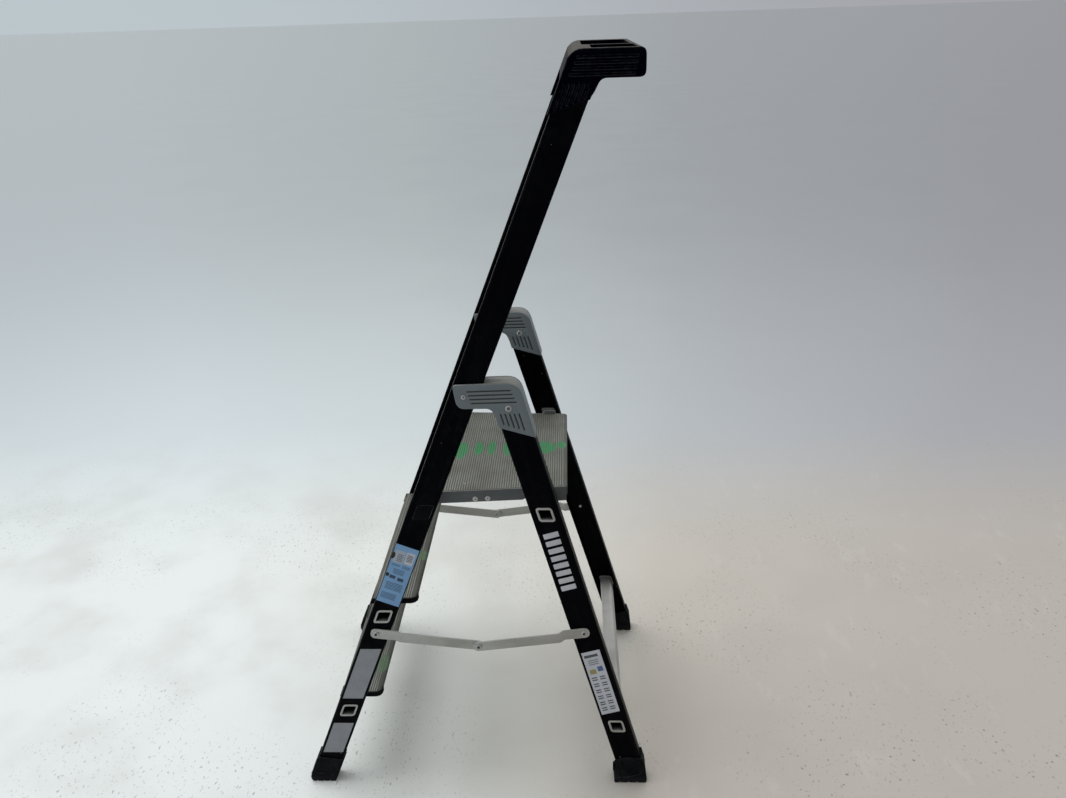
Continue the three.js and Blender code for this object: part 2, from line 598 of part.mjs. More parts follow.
for (const [word, side] of Object.entries(SIDES)) {
  addPiece(`stile_${word}`, onSide(stile(), side), FINISH.blackPaint);
  addPiece(`front_foot_${word}`, onSide(frontFoot(), side), FINISH.rubber);
  addPiece(`hinge_block_${word}`, onSide(hingeBlock(), side), FINISH.blackPlastic);
  const pin = rod(6, PLATFORM.hingeX, PLATFORM.hingeZ, -226, -188);
  addPiece(`hinge_pin_${word}`, mirrored(pin, side), FINISH.brightMetal);
  const pivot = rivet(FOLD_PIVOT.x, FOLD_PIVOT.z, 6, 1, 4, BRACKET_OUTER - GAP, BRACKET_INNER);
  addPiece(`fold_rivet_${word}`, onSide(pivot, side), FINISH.brightMetal);
  addPiece(`rear_leg_${word}`, onSide(rearLeg(), side), FINISH.blackPaint);
  addPiece(`rear_foot_${word}`, onSide(rearFoot(), side), FINISH.rubber);
  addPiece(`bracket_${word}`, onSide(bracket(), side), FINISH.greyPlastic);
  const screw = rivet(...bracketScrewAt(), 5.5, 2.2, 3, BRACKET_OUTER - GAP, 3.8);
  addPiece(`bracket_screw_${word}`, onSide(screw, side), FINISH.brightMetal);
  addPiece(`platform_side_${word}`, onPlatformSide(platformSide(), side), FINISH.darkPlastic);
  for (const [index, x] of PLATE_RIVETS.x.entries()) {
    const stud = rivet(x, PLATE_RIVETS.z, 5, 1.6, PLATE_RIVETS.radius, -GAP, PLATE);
    addPiece(`platform_rivet_${word}_${index + 1}`, onPlatformSide(stud, side),
      FINISH.brightMetal);
  }
  addPiece(`spreader_front_${word}`, mirrored(frontSpreader(), side), FINISH.aluminium);
  addPiece(`spreader_rear_${word}`, mirrored(rearSpreader(), side), FINISH.aluminium);
  addPiece(`spreader_rivet_front_${word}`,
    mirrored(spreaderRivet(SPREADER.frontX, SPREADER.frontZ), side), FINISH.brightMetal);
  addPiece(`spreader_rivet_rear_${word}`,
    mirrored(spreaderRivet(SPREADER.rearX, SPREADER.rearZ), side), FINISH.brightMetal);
  addPiece(`spreader_rivet_middle_${word}`, mirrored(middleRivet(), side),
    FINISH.brightMetal);
}

for (const at of TREADS) {
  addPiece(`${at.name}_tube`, crossTube(at, TREAD_TUBE, STILE.lean), FINISH.aluminium);
  addPiece(at.name, tread(at), FINISH.aluminium);
  for (const [word, side] of Object.entries(SIDES)) {
    addPiece(`${at.name}_cap_${word}`, treadCap(at, side), FINISH.blackPlastic);
  }
}
for (const at of CROSS_TUBES) {
  addPiece(at.name, crossTube(at, CROSS_TUBE, LEG.lean), FINISH.aluminium);
}
addPiece('platform_deck', platformDeck(), FINISH.aluminium);
addPiece('top_cap', topCap(), FINISH.blackPlastic);

const LABELS = {
  label_stile_low: { on: STILE, u: [-23, 23], z: [84, 168], level: true, finish: 'greyLabel' },
  label_stile_mid: { on: STILE, u: [-23, 23], z: [237, 370], level: true, finish: 'greyLabel' },
  label_stile_high: { on: STILE, u: [-25.5, 24.5], z: [487, 624], level: false, finish: 'blueLabel' },
  label_leg: { on: LEG, u: [-23.5, 17.5], z: [199, 364], level: false, finish: 'whiteLabel' },
};
for (const [name, { on, u, z, level, finish }] of Object.entries(LABELS)) {
  addPiece(name, onSide(memberLabel(on, u, z, level), SIDES.right), FINISH[finish]);
}

export default ladder;
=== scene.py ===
"""Looks of a folding platform step ladder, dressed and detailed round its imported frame.

Metres throughout. +X points to the back of the ladder, +Y to the climber's left, +Z up.
"""

from __future__ import annotations

import logging
import math
from dataclasses import dataclass, field
from enum import Enum
from functools import cache
from typing import Any, Iterable, Mapping, Sequence, Union

import bmesh
import bpy
from mathutils import Matrix, Vector


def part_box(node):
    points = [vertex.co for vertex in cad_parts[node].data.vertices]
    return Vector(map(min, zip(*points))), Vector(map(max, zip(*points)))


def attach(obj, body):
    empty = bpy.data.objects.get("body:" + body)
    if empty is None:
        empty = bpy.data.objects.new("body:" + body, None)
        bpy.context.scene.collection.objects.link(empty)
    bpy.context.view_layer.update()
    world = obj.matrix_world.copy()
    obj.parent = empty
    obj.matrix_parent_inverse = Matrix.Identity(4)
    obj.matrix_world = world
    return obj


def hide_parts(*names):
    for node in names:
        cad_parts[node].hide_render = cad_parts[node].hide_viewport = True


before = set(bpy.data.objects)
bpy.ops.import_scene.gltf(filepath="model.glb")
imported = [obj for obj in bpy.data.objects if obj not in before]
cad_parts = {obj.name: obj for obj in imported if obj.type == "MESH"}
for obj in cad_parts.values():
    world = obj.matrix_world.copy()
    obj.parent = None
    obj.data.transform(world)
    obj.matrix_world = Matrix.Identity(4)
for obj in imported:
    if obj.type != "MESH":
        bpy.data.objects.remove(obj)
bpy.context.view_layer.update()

log = logging.getLogger("step_ladder")

Colour = tuple[float, float, float]
Value = Union["Sock", float]
Paint = Union["Sock", Colour]
Point = tuple[float, float]
Spot = tuple[float, float, float, float]  # middle across and along, half width, half length

HALF_WIDTH = 0.2815  # outer web plane at floor level
TAPER = 0.057  # the web planes lean inward by this much per metre of height
CHANNEL_DEPTH = 0.028  # flange depth of the stiles and legs
SHARP = math.radians(38.0)  # edges sharper than this keep a crease in the shading


# ------------------------------------------------------------------ shader maths


class Sock:
    """One output socket of a material; arithmetic on it adds Math nodes."""

    def __init__(self, shader: "Shader", socket: bpy.types.NodeSocket) -> None:
        """Wrap a socket.

        Args:
            shader: Maker of the tree that the socket belongs to.
            socket: The output socket itself.
        """
        self.shader = shader
        self.socket = socket

    def __add__(self, other: Value) -> "Sock":
        """Sum."""
        return self.shader.maths("ADD", self, other)

    def __sub__(self, other: Value) -> "Sock":
        """Difference."""
        return self.shader.maths("SUBTRACT", self, other)

    def __rsub__(self, other: float) -> "Sock":
        """Difference from a number."""
        return self.shader.maths("SUBTRACT", other, self)

    def __mul__(self, other: Value) -> "Sock":
        """Product."""
        return self.shader.maths("MULTIPLY", self, other)

    def __truediv__(self, other: Value) -> "Sock":
        """Quotient."""
        return self.shader.maths("DIVIDE", self, other)

    def __gt__(self, other: Value) -> "Sock":
        """1 where this is the larger, 0 elsewhere."""
        return self.shader.maths("GREATER_THAN", self, other)

    def __lt__(self, other: Value) -> "Sock":
        """1 where this is the smaller, 0 elsewhere."""
        return self.shader.maths("LESS_THAN", self, other)

    __radd__ = __add__
    __rmul__ = __mul__

    def clamped(self) -> "Sock":
        """The value kept between 0 and 1."""
        return self.shader.maths("ADD", self, 0.0, clamp=True)

    def distance_to(self, other: Value) -> "Sock":
        """Absolute difference."""
        return self.shader.maths("ABSOLUTE", self - other)

    def rise(self, low: float, high: float) -> "Sock":
        """Smooth step from 0 at low to 1 at high; low may be the larger.

        Args:
            low: Value at which the step starts.
            high: Value at which the step is done.

        Returns:
            The stepped value, between 0 and 1.
        """
        return self.shader.node(
            "ShaderNodeMapRange",
            {"interpolation_type": "SMOOTHSTEP"},
            {"Value": self, "From Min": low, "From Max": high},
        )


class Shader:
    """The node tree of a material or a world, with the one method that adds its nodes."""

    def __init__(self, owner: bpy.types.Material | bpy.types.World) -> None:
        """Empty the owner's tree and work in it.

        Args:
            owner: The material or the world.
        """
        owner.use_nodes = True
        self.tree = owner.node_tree
        self.tree.nodes.clear()

    def node(
        self,
        kind: str,
        settings: Mapping[str, Any] | None = None,
        inputs: Mapping[Any, Any] | None = None,
        output: int | str = 0,
    ) -> Sock:
        """Add a node.

        Args:
            kind: Blender's type name of the node.
            settings: Its properties, set first; "stops" fills a colour ramp.
            inputs: Values or links by socket name or number.
            output: Name or number of the socket handed back.

        Returns:
            The chosen output socket.
        """
        made = self.tree.nodes.new(kind)
        for key, value in (settings or {}).items():
            if key == "stops":
                self._fill_ramp(made.color_ramp, value)
            else:
                setattr(made, key, value)
        for key, value in (inputs or {}).items():
            self._feed(made.inputs[key], value)
        return Sock(self, made.outputs[output])

    @staticmethod
    def _fill_ramp(ramp: bpy.types.ColorRamp, stops: Sequence[tuple[float, Colour]]) -> None:
        """Replace a ramp's stops by pairs of place and colour."""
        while len(ramp.elements) < len(stops):
            ramp.elements.new(0.5)
        for element, (place, colour) in zip(ramp.elements, stops):
            element.position = place
            element.color = (*colour, 1.0)

    def _feed(self, socket: bpy.types.NodeSocket, value: Any) -> None:
        """Link a socket, or set its own value, widening a colour to four channels."""
        if isinstance(value, Sock):
            self.tree.links.new(value.socket, socket)
        elif socket.type == "RGBA":
            socket.default_value = (*value, 1.0)
        else:
            socket.default_value = value

    def maths(self, operation: str, *values: Value, clamp: bool = False) -> Sock:
        """Add a Math node.

        Args:
            operation: Its operation.
            values: Its inputs in order.
            clamp: Whether the result stays between 0 and 1.

        Returns:
            The result.
        """
        settings = {"operation": operation, "use_clamp": clamp}
        return self.node("ShaderNodeMath", settings, dict(enumerate(values)))

    def mix(self, factor: Value, first: Paint, second: Paint) -> Sock:
        """Blend two colours.

        Args:
            factor: Share of the second colour.
            first: Colour at factor 0.
            second: Colour at factor 1.

        Returns:
            The blended colour.
        """
        settings = {"data_type": "RGBA", "clamp_factor": True}
        return self.node("ShaderNodeMix", settings, {0: factor, 6: first, 7: second}, 2)

    @property
    def place(self) -> Sock:
        """Position on the piece, in the ladder's frame."""
        return self.node("ShaderNodeTexCoord", output="Object")

    def axes(self) -> tuple[Sock, Sock, Sock]:
        """X, Y and Z of the position."""
        split = self.node("ShaderNodeSeparateXYZ", inputs={0: self.place})
        outputs = split.socket.node.outputs
        return tuple(Sock(self, outputs[i]) for i in range(3))

    def upward(self) -> Sock:
        """How far the surface looks up: 1 on a level top, below 0 underneath."""
        normal = self.node("ShaderNodeTexCoord", output="Normal")
        return self.node("ShaderNodeSeparateXYZ", inputs={0: normal}, output=2)

    def noise(
        self,
        scale: float,
        detail: float = 2.0,
        stretch: Colour = (1.0, 1.0, 1.0),
        turn: float = 0.0,
        shift: float = 0.0,
    ) -> Sock:
        """Cloudy noise between 0 and 1.

        Args:
            scale: Cells per metre.
            detail: Number of finer layers.
            stretch: Extra scale along each axis; a small one draws the cells out.
            turn: Angle about Y that the axes are turned by first.
            shift: Offset that gives a different pattern.

        Returns:
            The noise value.
        """
        laid = self.node(
            "ShaderNodeMapping",
            inputs={
                "Vector": self.node(
                    "ShaderNodeMapping",
                    inputs={"Vector": self.place, "Rotation": (0.0, turn, 0.0)},
                ),
                "Location": (shift, shift * 0.7, shift * 1.3),
                "Scale": stretch,
            },
        )
        return self.node(
            "ShaderNodeTexNoise", inputs={"Vector": laid, "Scale": scale, "Detail": detail}
        )

    def specks(self, scale: float, size: float, share: float, shift: float = 0.0) -> Sock:
        """Sparse round specks.

        Args:
            scale: Cells per metre, each of which may hold one speck.
            size: Radius of a speck, in cells.
            share: Share of the cells that hold one.
            shift: Offset that gives a different pattern.

        Returns:
            1 inside a speck and 0 outside it.
        """
        moved = self.node(
            "ShaderNodeMapping", inputs={"Vector": self.place, "Location": (shift,) * 3}
        )
        inputs = {"Vector": moved, "Scale": scale}
        near = self.node("ShaderNodeTexVoronoi", inputs=inputs, output="Distance")
        chance = self.node("ShaderNodeTexVoronoi", inputs=inputs, output="Color")
        pick = self.node("ShaderNodeSeparateXYZ", inputs={0: chance})
        return near.rise(size, size * 0.55) * (pick < share)

    def rounded_normal(self, radius: float) -> Sock:
        """Normal that turns smoothly round edges, within a radius."""
        return self.node("ShaderNodeBevel", {"samples": 6}, {"Radius": radius})

    def edges(self, radius: float, strength: float = 6.0) -> Sock:
        """Mask of edges and corners.

        Args:
            radius: Width of the band beside an edge, in metres.
            strength: Factor on the mask before it is cut off at 1.

        Returns:
            0 on flat faces, towards 1 on edges.
        """
        flat = self.node("ShaderNodeNewGeometry", output="True Normal")
        both = {0: self.rounded_normal(radius), 1: flat}
        settings = {"operation": "DOT_PRODUCT"}
        agree = self.node("ShaderNodeVectorMath", settings, both, "Value")
        return ((1.0 - agree) * strength).clamped()

    def cavity(self, reach: float) -> Sock:
        """Share of the sky hidden by the piece's own hollows, within a reach."""
        settings = {"samples": 8, "only_local": True}
        open_sky = self.node("ShaderNodeAmbientOcclusion", settings, {"Distance": reach}, "AO")
        return 1.0 - open_sky

    def bump(self, height: Sock, depth: float, under: Sock | None = None) -> Sock:
        """Turn a height into a normal.

        Args:
            height: Height between 0 and 1.
            depth: Size of the whole height range, in metres.
            under: Normal that this one is added to.

        Returns:
            The bumped normal.
        """
        inputs: dict[str, Any] = {"Height": height, "Distance": depth, "Strength": 1.0}
        if under is not None:
            inputs["Normal"] = under
        return self.node("ShaderNodeBump", inputs=inputs)

    def surface(self, **inputs: Any) -> None:
        """End the tree in a Principled surface.

        Args:
            inputs: Socket values by name, with _ for a space.
        """
        named = {key.replace("_", " "): value for key, value in inputs.items()}
        self.finish_with(self.node("ShaderNodeBsdfPrincipled", inputs=named))

    def finish_with(self, closure: Sock, kind: str = "ShaderNodeOutputMaterial") -> None:
        """Join a closure to the tree's output, a material's unless told otherwise."""
        made = self.tree.nodes.new(kind)
        self.tree.links.new(closure.socket, made.inputs["Surface"])


# ------------------------------------------------------------------ finishes


@dataclass(frozen=True)
class Finish:
    """A finish that can paint one material."""

    title: str

    def paint(self, s: Shader) -> None:
        """Lay the finish's nodes.

        Args:
            s: Maker of the material's tree.
        """
        raise NotImplementedError(self.title)


@cache
def material(finish: Finish) -> bpy.types.Material:
    """Make a finish's material once.

    Args:
        finish: The finish.

    Returns:
        Its material.
    """
    made = bpy.data.materials.new(finish.title)
    finish.paint(Shader(made))
    return made


@dataclass(frozen=True)
class PowderCoat(Finish):
    """Black powder coat on the channels, rubbed along their length and chipped."""

    turn: float = 0.0
    black: Colour = (0.0005, 0.0006, 0.0018)
    bare: Colour = (0.30, 0.31, 0.31)

    def paint(self, s: Shader) -> None:
        """Black with dusty clouds, long rubs, edges lightened by wear and a painted highlight,
        and a few bare chips.
        """
        clouds = s.noise(9.0, 4.0).rise(0.42, 0.74)
        rubs = s.noise(60.0, 3.0, (6.0, 6.0, 0.16), self.turn).rise(0.60, 0.74)
        where = s.noise(5.0, 2.0, shift=3.1).rise(0.50, 0.66)
        fine = s.noise(220.0, 2.0, (3.0, 3.0, 0.10), self.turn, 1.7).rise(0.66, 0.73)
        # Edge mask: real wear on the edges plus a painted highlight along them.
        edge = s.edges(0.0012) * s.noise(45.0, 4.0, shift=5.0).rise(0.30, 0.72)
        chips = s.specks(26.0, 0.06, 0.13) + s.specks(70.0, 0.09, 0.05, 2.0)
        peel = s.noise(900.0, 1.0)
        dusty = s.mix(clouds * 0.5, self.black, (0.0016, 0.0018, 0.0030))
        pale_marked = s.mix(rubs * where * 0.35, dusty, (0.012, 0.0125, 0.015))
        scratched = s.mix(fine * where * 0.22, pale_marked, (0.05, 0.052, 0.055))
        # Edges lightened: part wear, part painted highlight.
        lightened = s.mix(edge * 0.7, scratched, (0.085, 0.088, 0.094))
        colour = s.mix((chips * 0.8).clamped(), lightened, self.bare)
        rough = 0.40 + clouds * 0.12 + rubs * 0.10
        height = peel + chips * -2.0
        s.surface(
            Base_Color=colour,
            Roughness=rough,
            Metallic=0.0,
            Specular_IOR_Level=0.025,
            Normal=s.bump(height, 0.00004),
        )


@dataclass(frozen=True)
class DullAluminium(Finish):
    """Mill-finish aluminium gone dull, with a grain, grime and fine scratches."""

    metal: Colour = (0.40, 0.40, 0.385)
    grime: Colour = (0.13, 0.125, 0.11)
    grain: Colour = (0.12, 1.0, 1.0)
    dirt: float = 0.35
    metallic: float = 0.55
    # Reach of the painted shade inside a bore; 0 for none.
    bore_shade_reach: float = 0.0

    def paint(self, s: Shader) -> None:
        """Streaky metal under patchy grime, with painted shade darkening the inside of a bore.
        """
        streaks = s.noise(420.0, 3.0, self.grain)
        broad = s.noise(26.0, 4.0, self.grain, shift=2.0)
        patches = s.noise(11.0, 5.0, shift=7.0).rise(0.38, 0.72)
        spots = s.noise(95.0, 4.0, shift=4.0).rise(0.60, 0.78)
        nicks = s.specks(110.0, 0.09, 0.10, 1.0)
        edge = s.edges(0.0010)
        bright = s.mix(streaks.rise(0.25, 0.75) * 0.35, self.metal, (0.52, 0.52, 0.50))
        toned = s.mix(broad.rise(0.35, 0.7) * 0.4, bright, (0.30, 0.30, 0.285))
        dirty = s.mix((patches * self.dirt + spots * 0.25).clamped(), toned, self.grime)
        nicked = s.mix(nicks * 0.6, dirty, (0.06, 0.06, 0.06))
        colour = s.mix(edge * 0.45, nicked, (0.62, 0.62, 0.60))
        # Painted shade: the inside of a bore darkened where the piece hides the sky.
        if self.bore_shade_reach > 0:
            colour = s.mix(s.cavity(self.bore_shade_reach).rise(0.42, 0.75), colour, (0.012, 0.012, 0.015))
        rough = 0.40 + patches * 0.18 + streaks * 0.14
        s.surface(
            Base_Color=colour,
            Roughness=rough,
            Metallic=self.metallic,
            Normal=s.bump(streaks + spots * 0.5, 0.00003),
        )


@dataclass(frozen=True)
class DeckMetal(Finish):
    """Ribbed tread metal: clean rib tops, packed dirt between, stray paint marks."""

    top: float = 0.0
    rib: float = 0.0012
    lit: Colour = (0.128, 0.132, 0.112)
    packed: Colour = (0.036, 0.037, 0.030)
    paint_colour: Colour = (0.028, 0.165, 0.060)
    marks: tuple[Spot, ...] = ()

    def paint(self, s: Shader) -> None:
        """Dirt by height between the ribs, patches of wear and sprayed paint marks."""
        x, y, z = s.axes()
        hollow = z.rise(self.top - self.rib * 0.25, self.top - self.rib * 0.9)
        patches = s.noise(14.0, 5.0).rise(0.35, 0.70)
        streaks = s.noise(300.0, 3.0, (1.0, 0.10, 1.0), shift=2.0)
        spots = s.noise(130.0, 4.0, shift=5.0).rise(0.58, 0.74)
        splash = s.specks(34.0, 0.06, 0.07, 3.0)
        ribs = s.mix(streaks.rise(0.3, 0.75) * 0.45, self.lit, (0.21, 0.212, 0.19))
        walked = s.mix(patches * 0.45, ribs, (0.080, 0.080, 0.066))
        stained = s.mix(spots * 0.35, walked, (0.060, 0.060, 0.050))
        filled = s.mix(hollow * 0.75, stained, self.packed)
        colour = s.mix(splash * 0.7, filled, (0.62, 0.62, 0.60))
        if self.marks:
            ragged = s.noise(60.0, 4.0, shift=8.0)
            covered: Value = 0.0
            for mid_x, mid_y, wide, deep in self.marks:
                across = x.distance_to(mid_x) / wide
                along = y.distance_to(mid_y) / deep
                far = (across * across + along * along) + (ragged - 0.5) * 1.5
                covered = far.rise(1.1, 0.55) + covered
            thin = streaks.rise(0.0, 0.50) * 0.80 + 0.25
            colour = s.mix((covered * thin).clamped(), colour, self.paint_colour)
        s.surface(
            Base_Color=colour,
            Roughness=0.46 + patches * 0.15 + hollow * 0.2,
            Metallic=0.35 - hollow * 0.3,
            Normal=s.bump(streaks + spots, 0.00005),
        )


@dataclass(frozen=True)
class Moulding(Finish):
    """Moulded plastic with a fine grain, edges lightened by handling wear and a painted
    highlight, and dust lying on its tops.
    """

    colour: Colour = (0.1, 0.1, 0.1)
    edge_colour: Colour = (0.2, 0.2, 0.2)
    dust: Colour = (0.17, 0.16, 0.14)
    dusting: float = 0.6
    gloss: float = 0.45
    specular: float = 0.35
    mottle: float = 0.35
    scuffing: float = 0.2
    hollow: float = 0.0

    def paint(self, s: Shader) -> None:
        """Plastic, dust by how far the surface looks up, edges lightened as wear and a painted
        highlight, scuffs, and painted shade on slot floors.
        """
        up = s.upward().rise(0.25, 0.9)
        clouds = s.noise(16.0, 5.0).rise(0.36, 0.70)
        fine = s.noise(150.0, 4.0, shift=2.0)
        scuffs = s.noise(120.0, 3.0, (4.0, 1.0, 0.3), 0.5, 6.0).rise(0.62, 0.72)
        # Edge mask: lighter edges, part handling wear and part painted highlight.
        edge = s.edges(0.0014) * fine.rise(0.25, 0.7)
        grain = s.noise(1400.0, 1.0)
        darker = tuple(c * 0.72 for c in self.colour)
        base = s.mix(clouds * self.mottle, self.colour, darker)
        scuffed = s.mix(scuffs * self.scuffing, base, self.edge_colour)
        # Edges lightened: wear plus painted highlight.
        pale_marked = s.mix(edge * 0.6, scuffed, self.edge_colour)
        settled = (up * (0.55 + fine * 0.6) * self.dusting).clamped()
        colour = s.mix(settled, pale_marked, self.dust)
        # Painted shade: slot floors darkened to 0.22 of the plastic's colour.
        if self.hollow > 0:
            colour = s.mix(self.sunk(s), colour, tuple(c * 0.22 for c in self.colour))
        s.surface(
            Base_Color=colour,
            Roughness=self.gloss + clouds * 0.10 + settled * 0.25,
            Metallic=0.0,
            Specular_IOR_Level=self.specular,
            Normal=s.bump(grain + scuffs * 1.5, 0.00003, s.rounded_normal(0.0015)),
        )

    def sunk(self, s: Shader) -> Sock:
        """Mask of slot floors, painted darker as painted shade: between the two cheeks but
        inside their outer faces.
        """
        _, y, z = s.axes()
        depth = HALF_WIDTH - TAPER * z - s.maths("ABSOLUTE", y)
        outer = depth.rise(-self.hollow + 0.0003, -self.hollow + 0.0009)
        back = CHANNEL_DEPTH + self.hollow
        inner = depth.rise(back - 0.0003, back - 0.0009)
        flat = s.node("ShaderNodeNewGeometry", output="True Normal")
        across = s.node("ShaderNodeSeparateXYZ", inputs={0: flat}, output=1)
        cheek = s.maths("ABSOLUTE", across).rise(0.90, 0.97)
        return outer * inner * cheek


@dataclass(frozen=True)
class ShoeRubber(Finish):
    """Black rubber, scuffed grey and dusty near the floor."""

    black: Colour = (0.0032, 0.0036, 0.005)
    dust: Colour = (0.055, 0.058, 0.062)

    def paint(self, s: Shader) -> None:
        """Rubber with pale dust in its lowest band, and edges lightened with pale dust and a
        painted highlight.
        """
        _, _, z = s.axes()
        low = z.rise(0.022, 0.004)
        clouds = s.noise(40.0, 5.0).rise(0.40, 0.70)
        smears = s.noise(160.0, 3.0, (2.0, 1.0, 0.5), shift=3.0).rise(0.55, 0.72)
        # Edge mask: dust on the edges plus a painted highlight along them.
        edge = s.edges(0.0016) * s.noise(80.0, 3.0, shift=1.0).rise(0.3, 0.7)
        marked = s.mix(clouds * 0.10 + smears * 0.10, self.black, self.dust)
        # Edges lightened: dust and painted highlight.
        pale_marked = s.mix(edge * 0.9, marked, self.dust)
        colour = s.mix(low * 0.15, pale_marked, self.dust)
        s.surface(
            Base_Color=colour,
            Roughness=0.62 + clouds * 0.15,
            Metallic=0.0,
            Specular_IOR_Level=0.05,
            Normal=s.bump(s.noise(1100.0, 2.0) + smears, 0.00006),
        )


@dataclass(frozen=True)
class ZincSteel(Finish):
    """Bright plated steel of rivets, pins and screws."""

    bright: Colour = (0.46, 0.46, 0.45)

    def paint(self, s: Shader) -> None:
        """Bright metal with fine dark staining and painted shade in its dimples."""
        stain = s.noise(260.0, 4.0).rise(0.45, 0.75)
        clean = s.mix(stain * 0.5, self.bright, (0.30, 0.30, 0.29))
        # Painted shade: dimples darkened where the head hides the sky.
        colour = s.mix(s.cavity(0.004).rise(0.25, 0.6), clean, (0.012, 0.012, 0.014))
        s.surface(
            Base_Color=colour,
            Roughness=0.30 + stain * 0.2,
            Metallic=0.7,
            Normal=s.bump(stain, 0.00003),
        )


@dataclass(frozen=True)
class Block:
    """A plain printed rectangle on a label, in metres from the label's centre."""

    u: tuple[float, float]
    v: tuple[float, float]
    colour: Colour
    bars: int = 0


@dataclass(frozen=True)
class FilmLabel(Finish):
    """Printed film on a leaning member, with plain blocks in place of any print."""

    lean: float = 0.0
    centre: Point = (0.0, 0.0)
    film: Colour = (0.35, 0.35, 0.37)
    blocks: tuple[Block, ...] = ()
    wear: float = 0.2
    chips: tuple[Spot, ...] = ()

    def paint(self, s: Shader) -> None:
        """Film, then each block, rubbed patches and torn spots that show black."""
        x, _, z = s.axes()
        cos, sin = math.cos(self.lean), math.sin(self.lean)
        mid_u = self.centre[0] * cos - self.centre[1] * sin
        mid_v = self.centre[0] * sin + self.centre[1] * cos
        u = x * cos - z * sin - mid_u
        v = x * sin + z * cos - mid_v
        clouds = s.noise(30.0, 4.0).rise(0.35, 0.75)
        rub = s.noise(500.0, 3.0, (1.0, 1.0, 0.2), self.lean, 2.0).rise(0.55, 0.75)
        darker = tuple(c * 0.78 for c in self.film)
        colour = s.mix(clouds * 0.5, self.film, darker)
        for block in self.blocks:
            inside = (u > block.u[0]) * (u < block.u[1])
            inside = inside * (v > block.v[0]) * (v < block.v[1])
            if block.bars:
                pitch = (block.v[1] - block.v[0]) / block.bars
                phase = s.maths("FRACT", (v - block.v[0]) / pitch)
                inside = inside * (phase < 0.5)
            colour = s.mix(inside * 0.9, colour, block.colour)
        colour = s.mix(rub * self.wear, colour, tuple(c * 0.55 for c in self.film))
        ragged = s.noise(240.0, 3.0, shift=4.0)
        for at_u, at_v, wide, tall in self.chips:
            a, b = u.distance_to(at_u) / wide, v.distance_to(at_v) / tall
            torn = (a * a + b * b + (ragged - 0.5) * 1.2).rise(1.0, 0.8)
            colour = s.mix(torn, colour, (0.004, 0.004, 0.006))
        s.surface(
            Base_Color=colour,
            Roughness=0.42 + clouds * 0.15,
            Metallic=0.0,
            Specular_IOR_Level=0.4,
            Normal=s.bump(ragged, 0.00002),
        )


@dataclass(frozen=True)
class StudioFloor(Finish):
    """Pale painted floor, with painted light grading its tone: cool and bright at the left, grey
    and dimmer at the back, warm, darker and gritty at the right.
    """

    stand: tuple[float, float] = (0.228, -1.734)
    # Tone ramps by bearing, far and near; their brightness is painted light.
    far: tuple[tuple[float, Colour], ...] = (
        (0.10, (0.545, 0.600, 0.625)),
        (0.35, (0.500, 0.545, 0.555)),
        (0.60, (0.405, 0.430, 0.450)),
        (0.90, (0.365, 0.370, 0.395)),
    )
    close: tuple[tuple[float, Colour], ...] = (
        (0.10, (0.640, 0.675, 0.665)),
        (0.35, (0.585, 0.600, 0.570)),
        (0.60, (0.470, 0.440, 0.395)),
        (0.90, (0.440, 0.405, 0.370)),
    )

    def paint(self, s: Shader) -> None:
        """Two bands of tone that paint the light's fall-off, soft clouds, hair-fine scuffs and
        grit close to the ladder.
        """
        x, y, _ = s.axes()
        ahead = s.maths("MAXIMUM", y - self.stand[1], 0.5)
        bearing = ((x - self.stand[0]) / ahead * 0.8 + 0.5).clamped()
        warp = (bearing + (s.noise(1.1, 3.0) - 0.5) * 0.12).clamped()
        # Painted light: the tone ramps run brighter towards the left and towards the camera.
        back = s.node("ShaderNodeValToRGB", {"stops": self.far}, {0: warp})
        front = s.node("ShaderNodeValToRGB", {"stops": self.close}, {0: warp})
        tone = s.mix(y.rise(0.5, 1.7), front, back)
        near = y.rise(1.9, 0.5)
        side = bearing.rise(0.35, 0.75)
        clouds = s.noise(4.0, 7.0, shift=3.0).rise(0.40, 0.72)
        scuffs = s.noise(22.0, 6.0, (1.0, 0.4, 1.0), 0.0, 6.0).rise(0.60, 0.72)
        hairs = s.noise(150.0, 6.0, (1.0, 0.45, 1.0), shift=4.0).rise(0.62, 0.68)
        patch = s.noise(2.6, 4.0, shift=9.0).rise(0.40, 0.60)
        grit = s.specks(105.0, 0.22, 0.34, 1.0) * patch
        crumbs = s.specks(60.0, 0.20, 0.30, 5.0) * patch * side
        pale = s.mix(near * clouds * 0.30, tone, (0.40, 0.385, 0.355))
        lightened = s.mix(near * scuffs * 0.12, pale, (0.60, 0.59, 0.56))
        scratched = s.mix(near * hairs * patch * 0.60, lightened, (0.22, 0.205, 0.18))
        gritty = s.mix(near * grit * 0.55, scratched, (0.20, 0.19, 0.17))
        colour = s.mix(near * crumbs * 0.75, gritty, (0.17, 0.115, 0.06))
        s.surface(Base_Color=colour, Roughness=0.85, Metallic=0.0, Specular_IOR_Level=0.12)


# ------------------------------------------------------------------ geometry helpers


class Side(Enum):
    """The two sides of the ladder."""

    RIGHT = -1
    LEFT = 1

    @property
    def word(self) -> str:
        """Name used in the nodes."""
        return self.name.lower()

    def web(self, x: float, z: float, out: float = 0.0) -> Vector:
        """Point on the outer web plane, moved outward."""
        return Vector((x, self.value * (HALF_WIDTH - TAPER * z + out), z))

    @property
    def outward(self) -> Vector:
        """Unit normal of the outer web plane."""
        return Vector((0.0, self.value, TAPER)).normalized()


@dataclass(frozen=True)
class Member:
    """A leaning channel seen from the side."""

    foot: float
    lean: float
    width: float

    def at(self, u: float, z: float) -> Point:
        """Point across the member (u, to the back) at a height on its centre line."""
        centre = self.foot + math.tan(self.lean) * z
        return centre + u * math.cos(self.lean), z - u * math.sin(self.lean)


STILE = Member(-0.365, math.radians(22.0), 0.0536)
LEG = Member(0.365, math.radians(-15.35), 0.058)


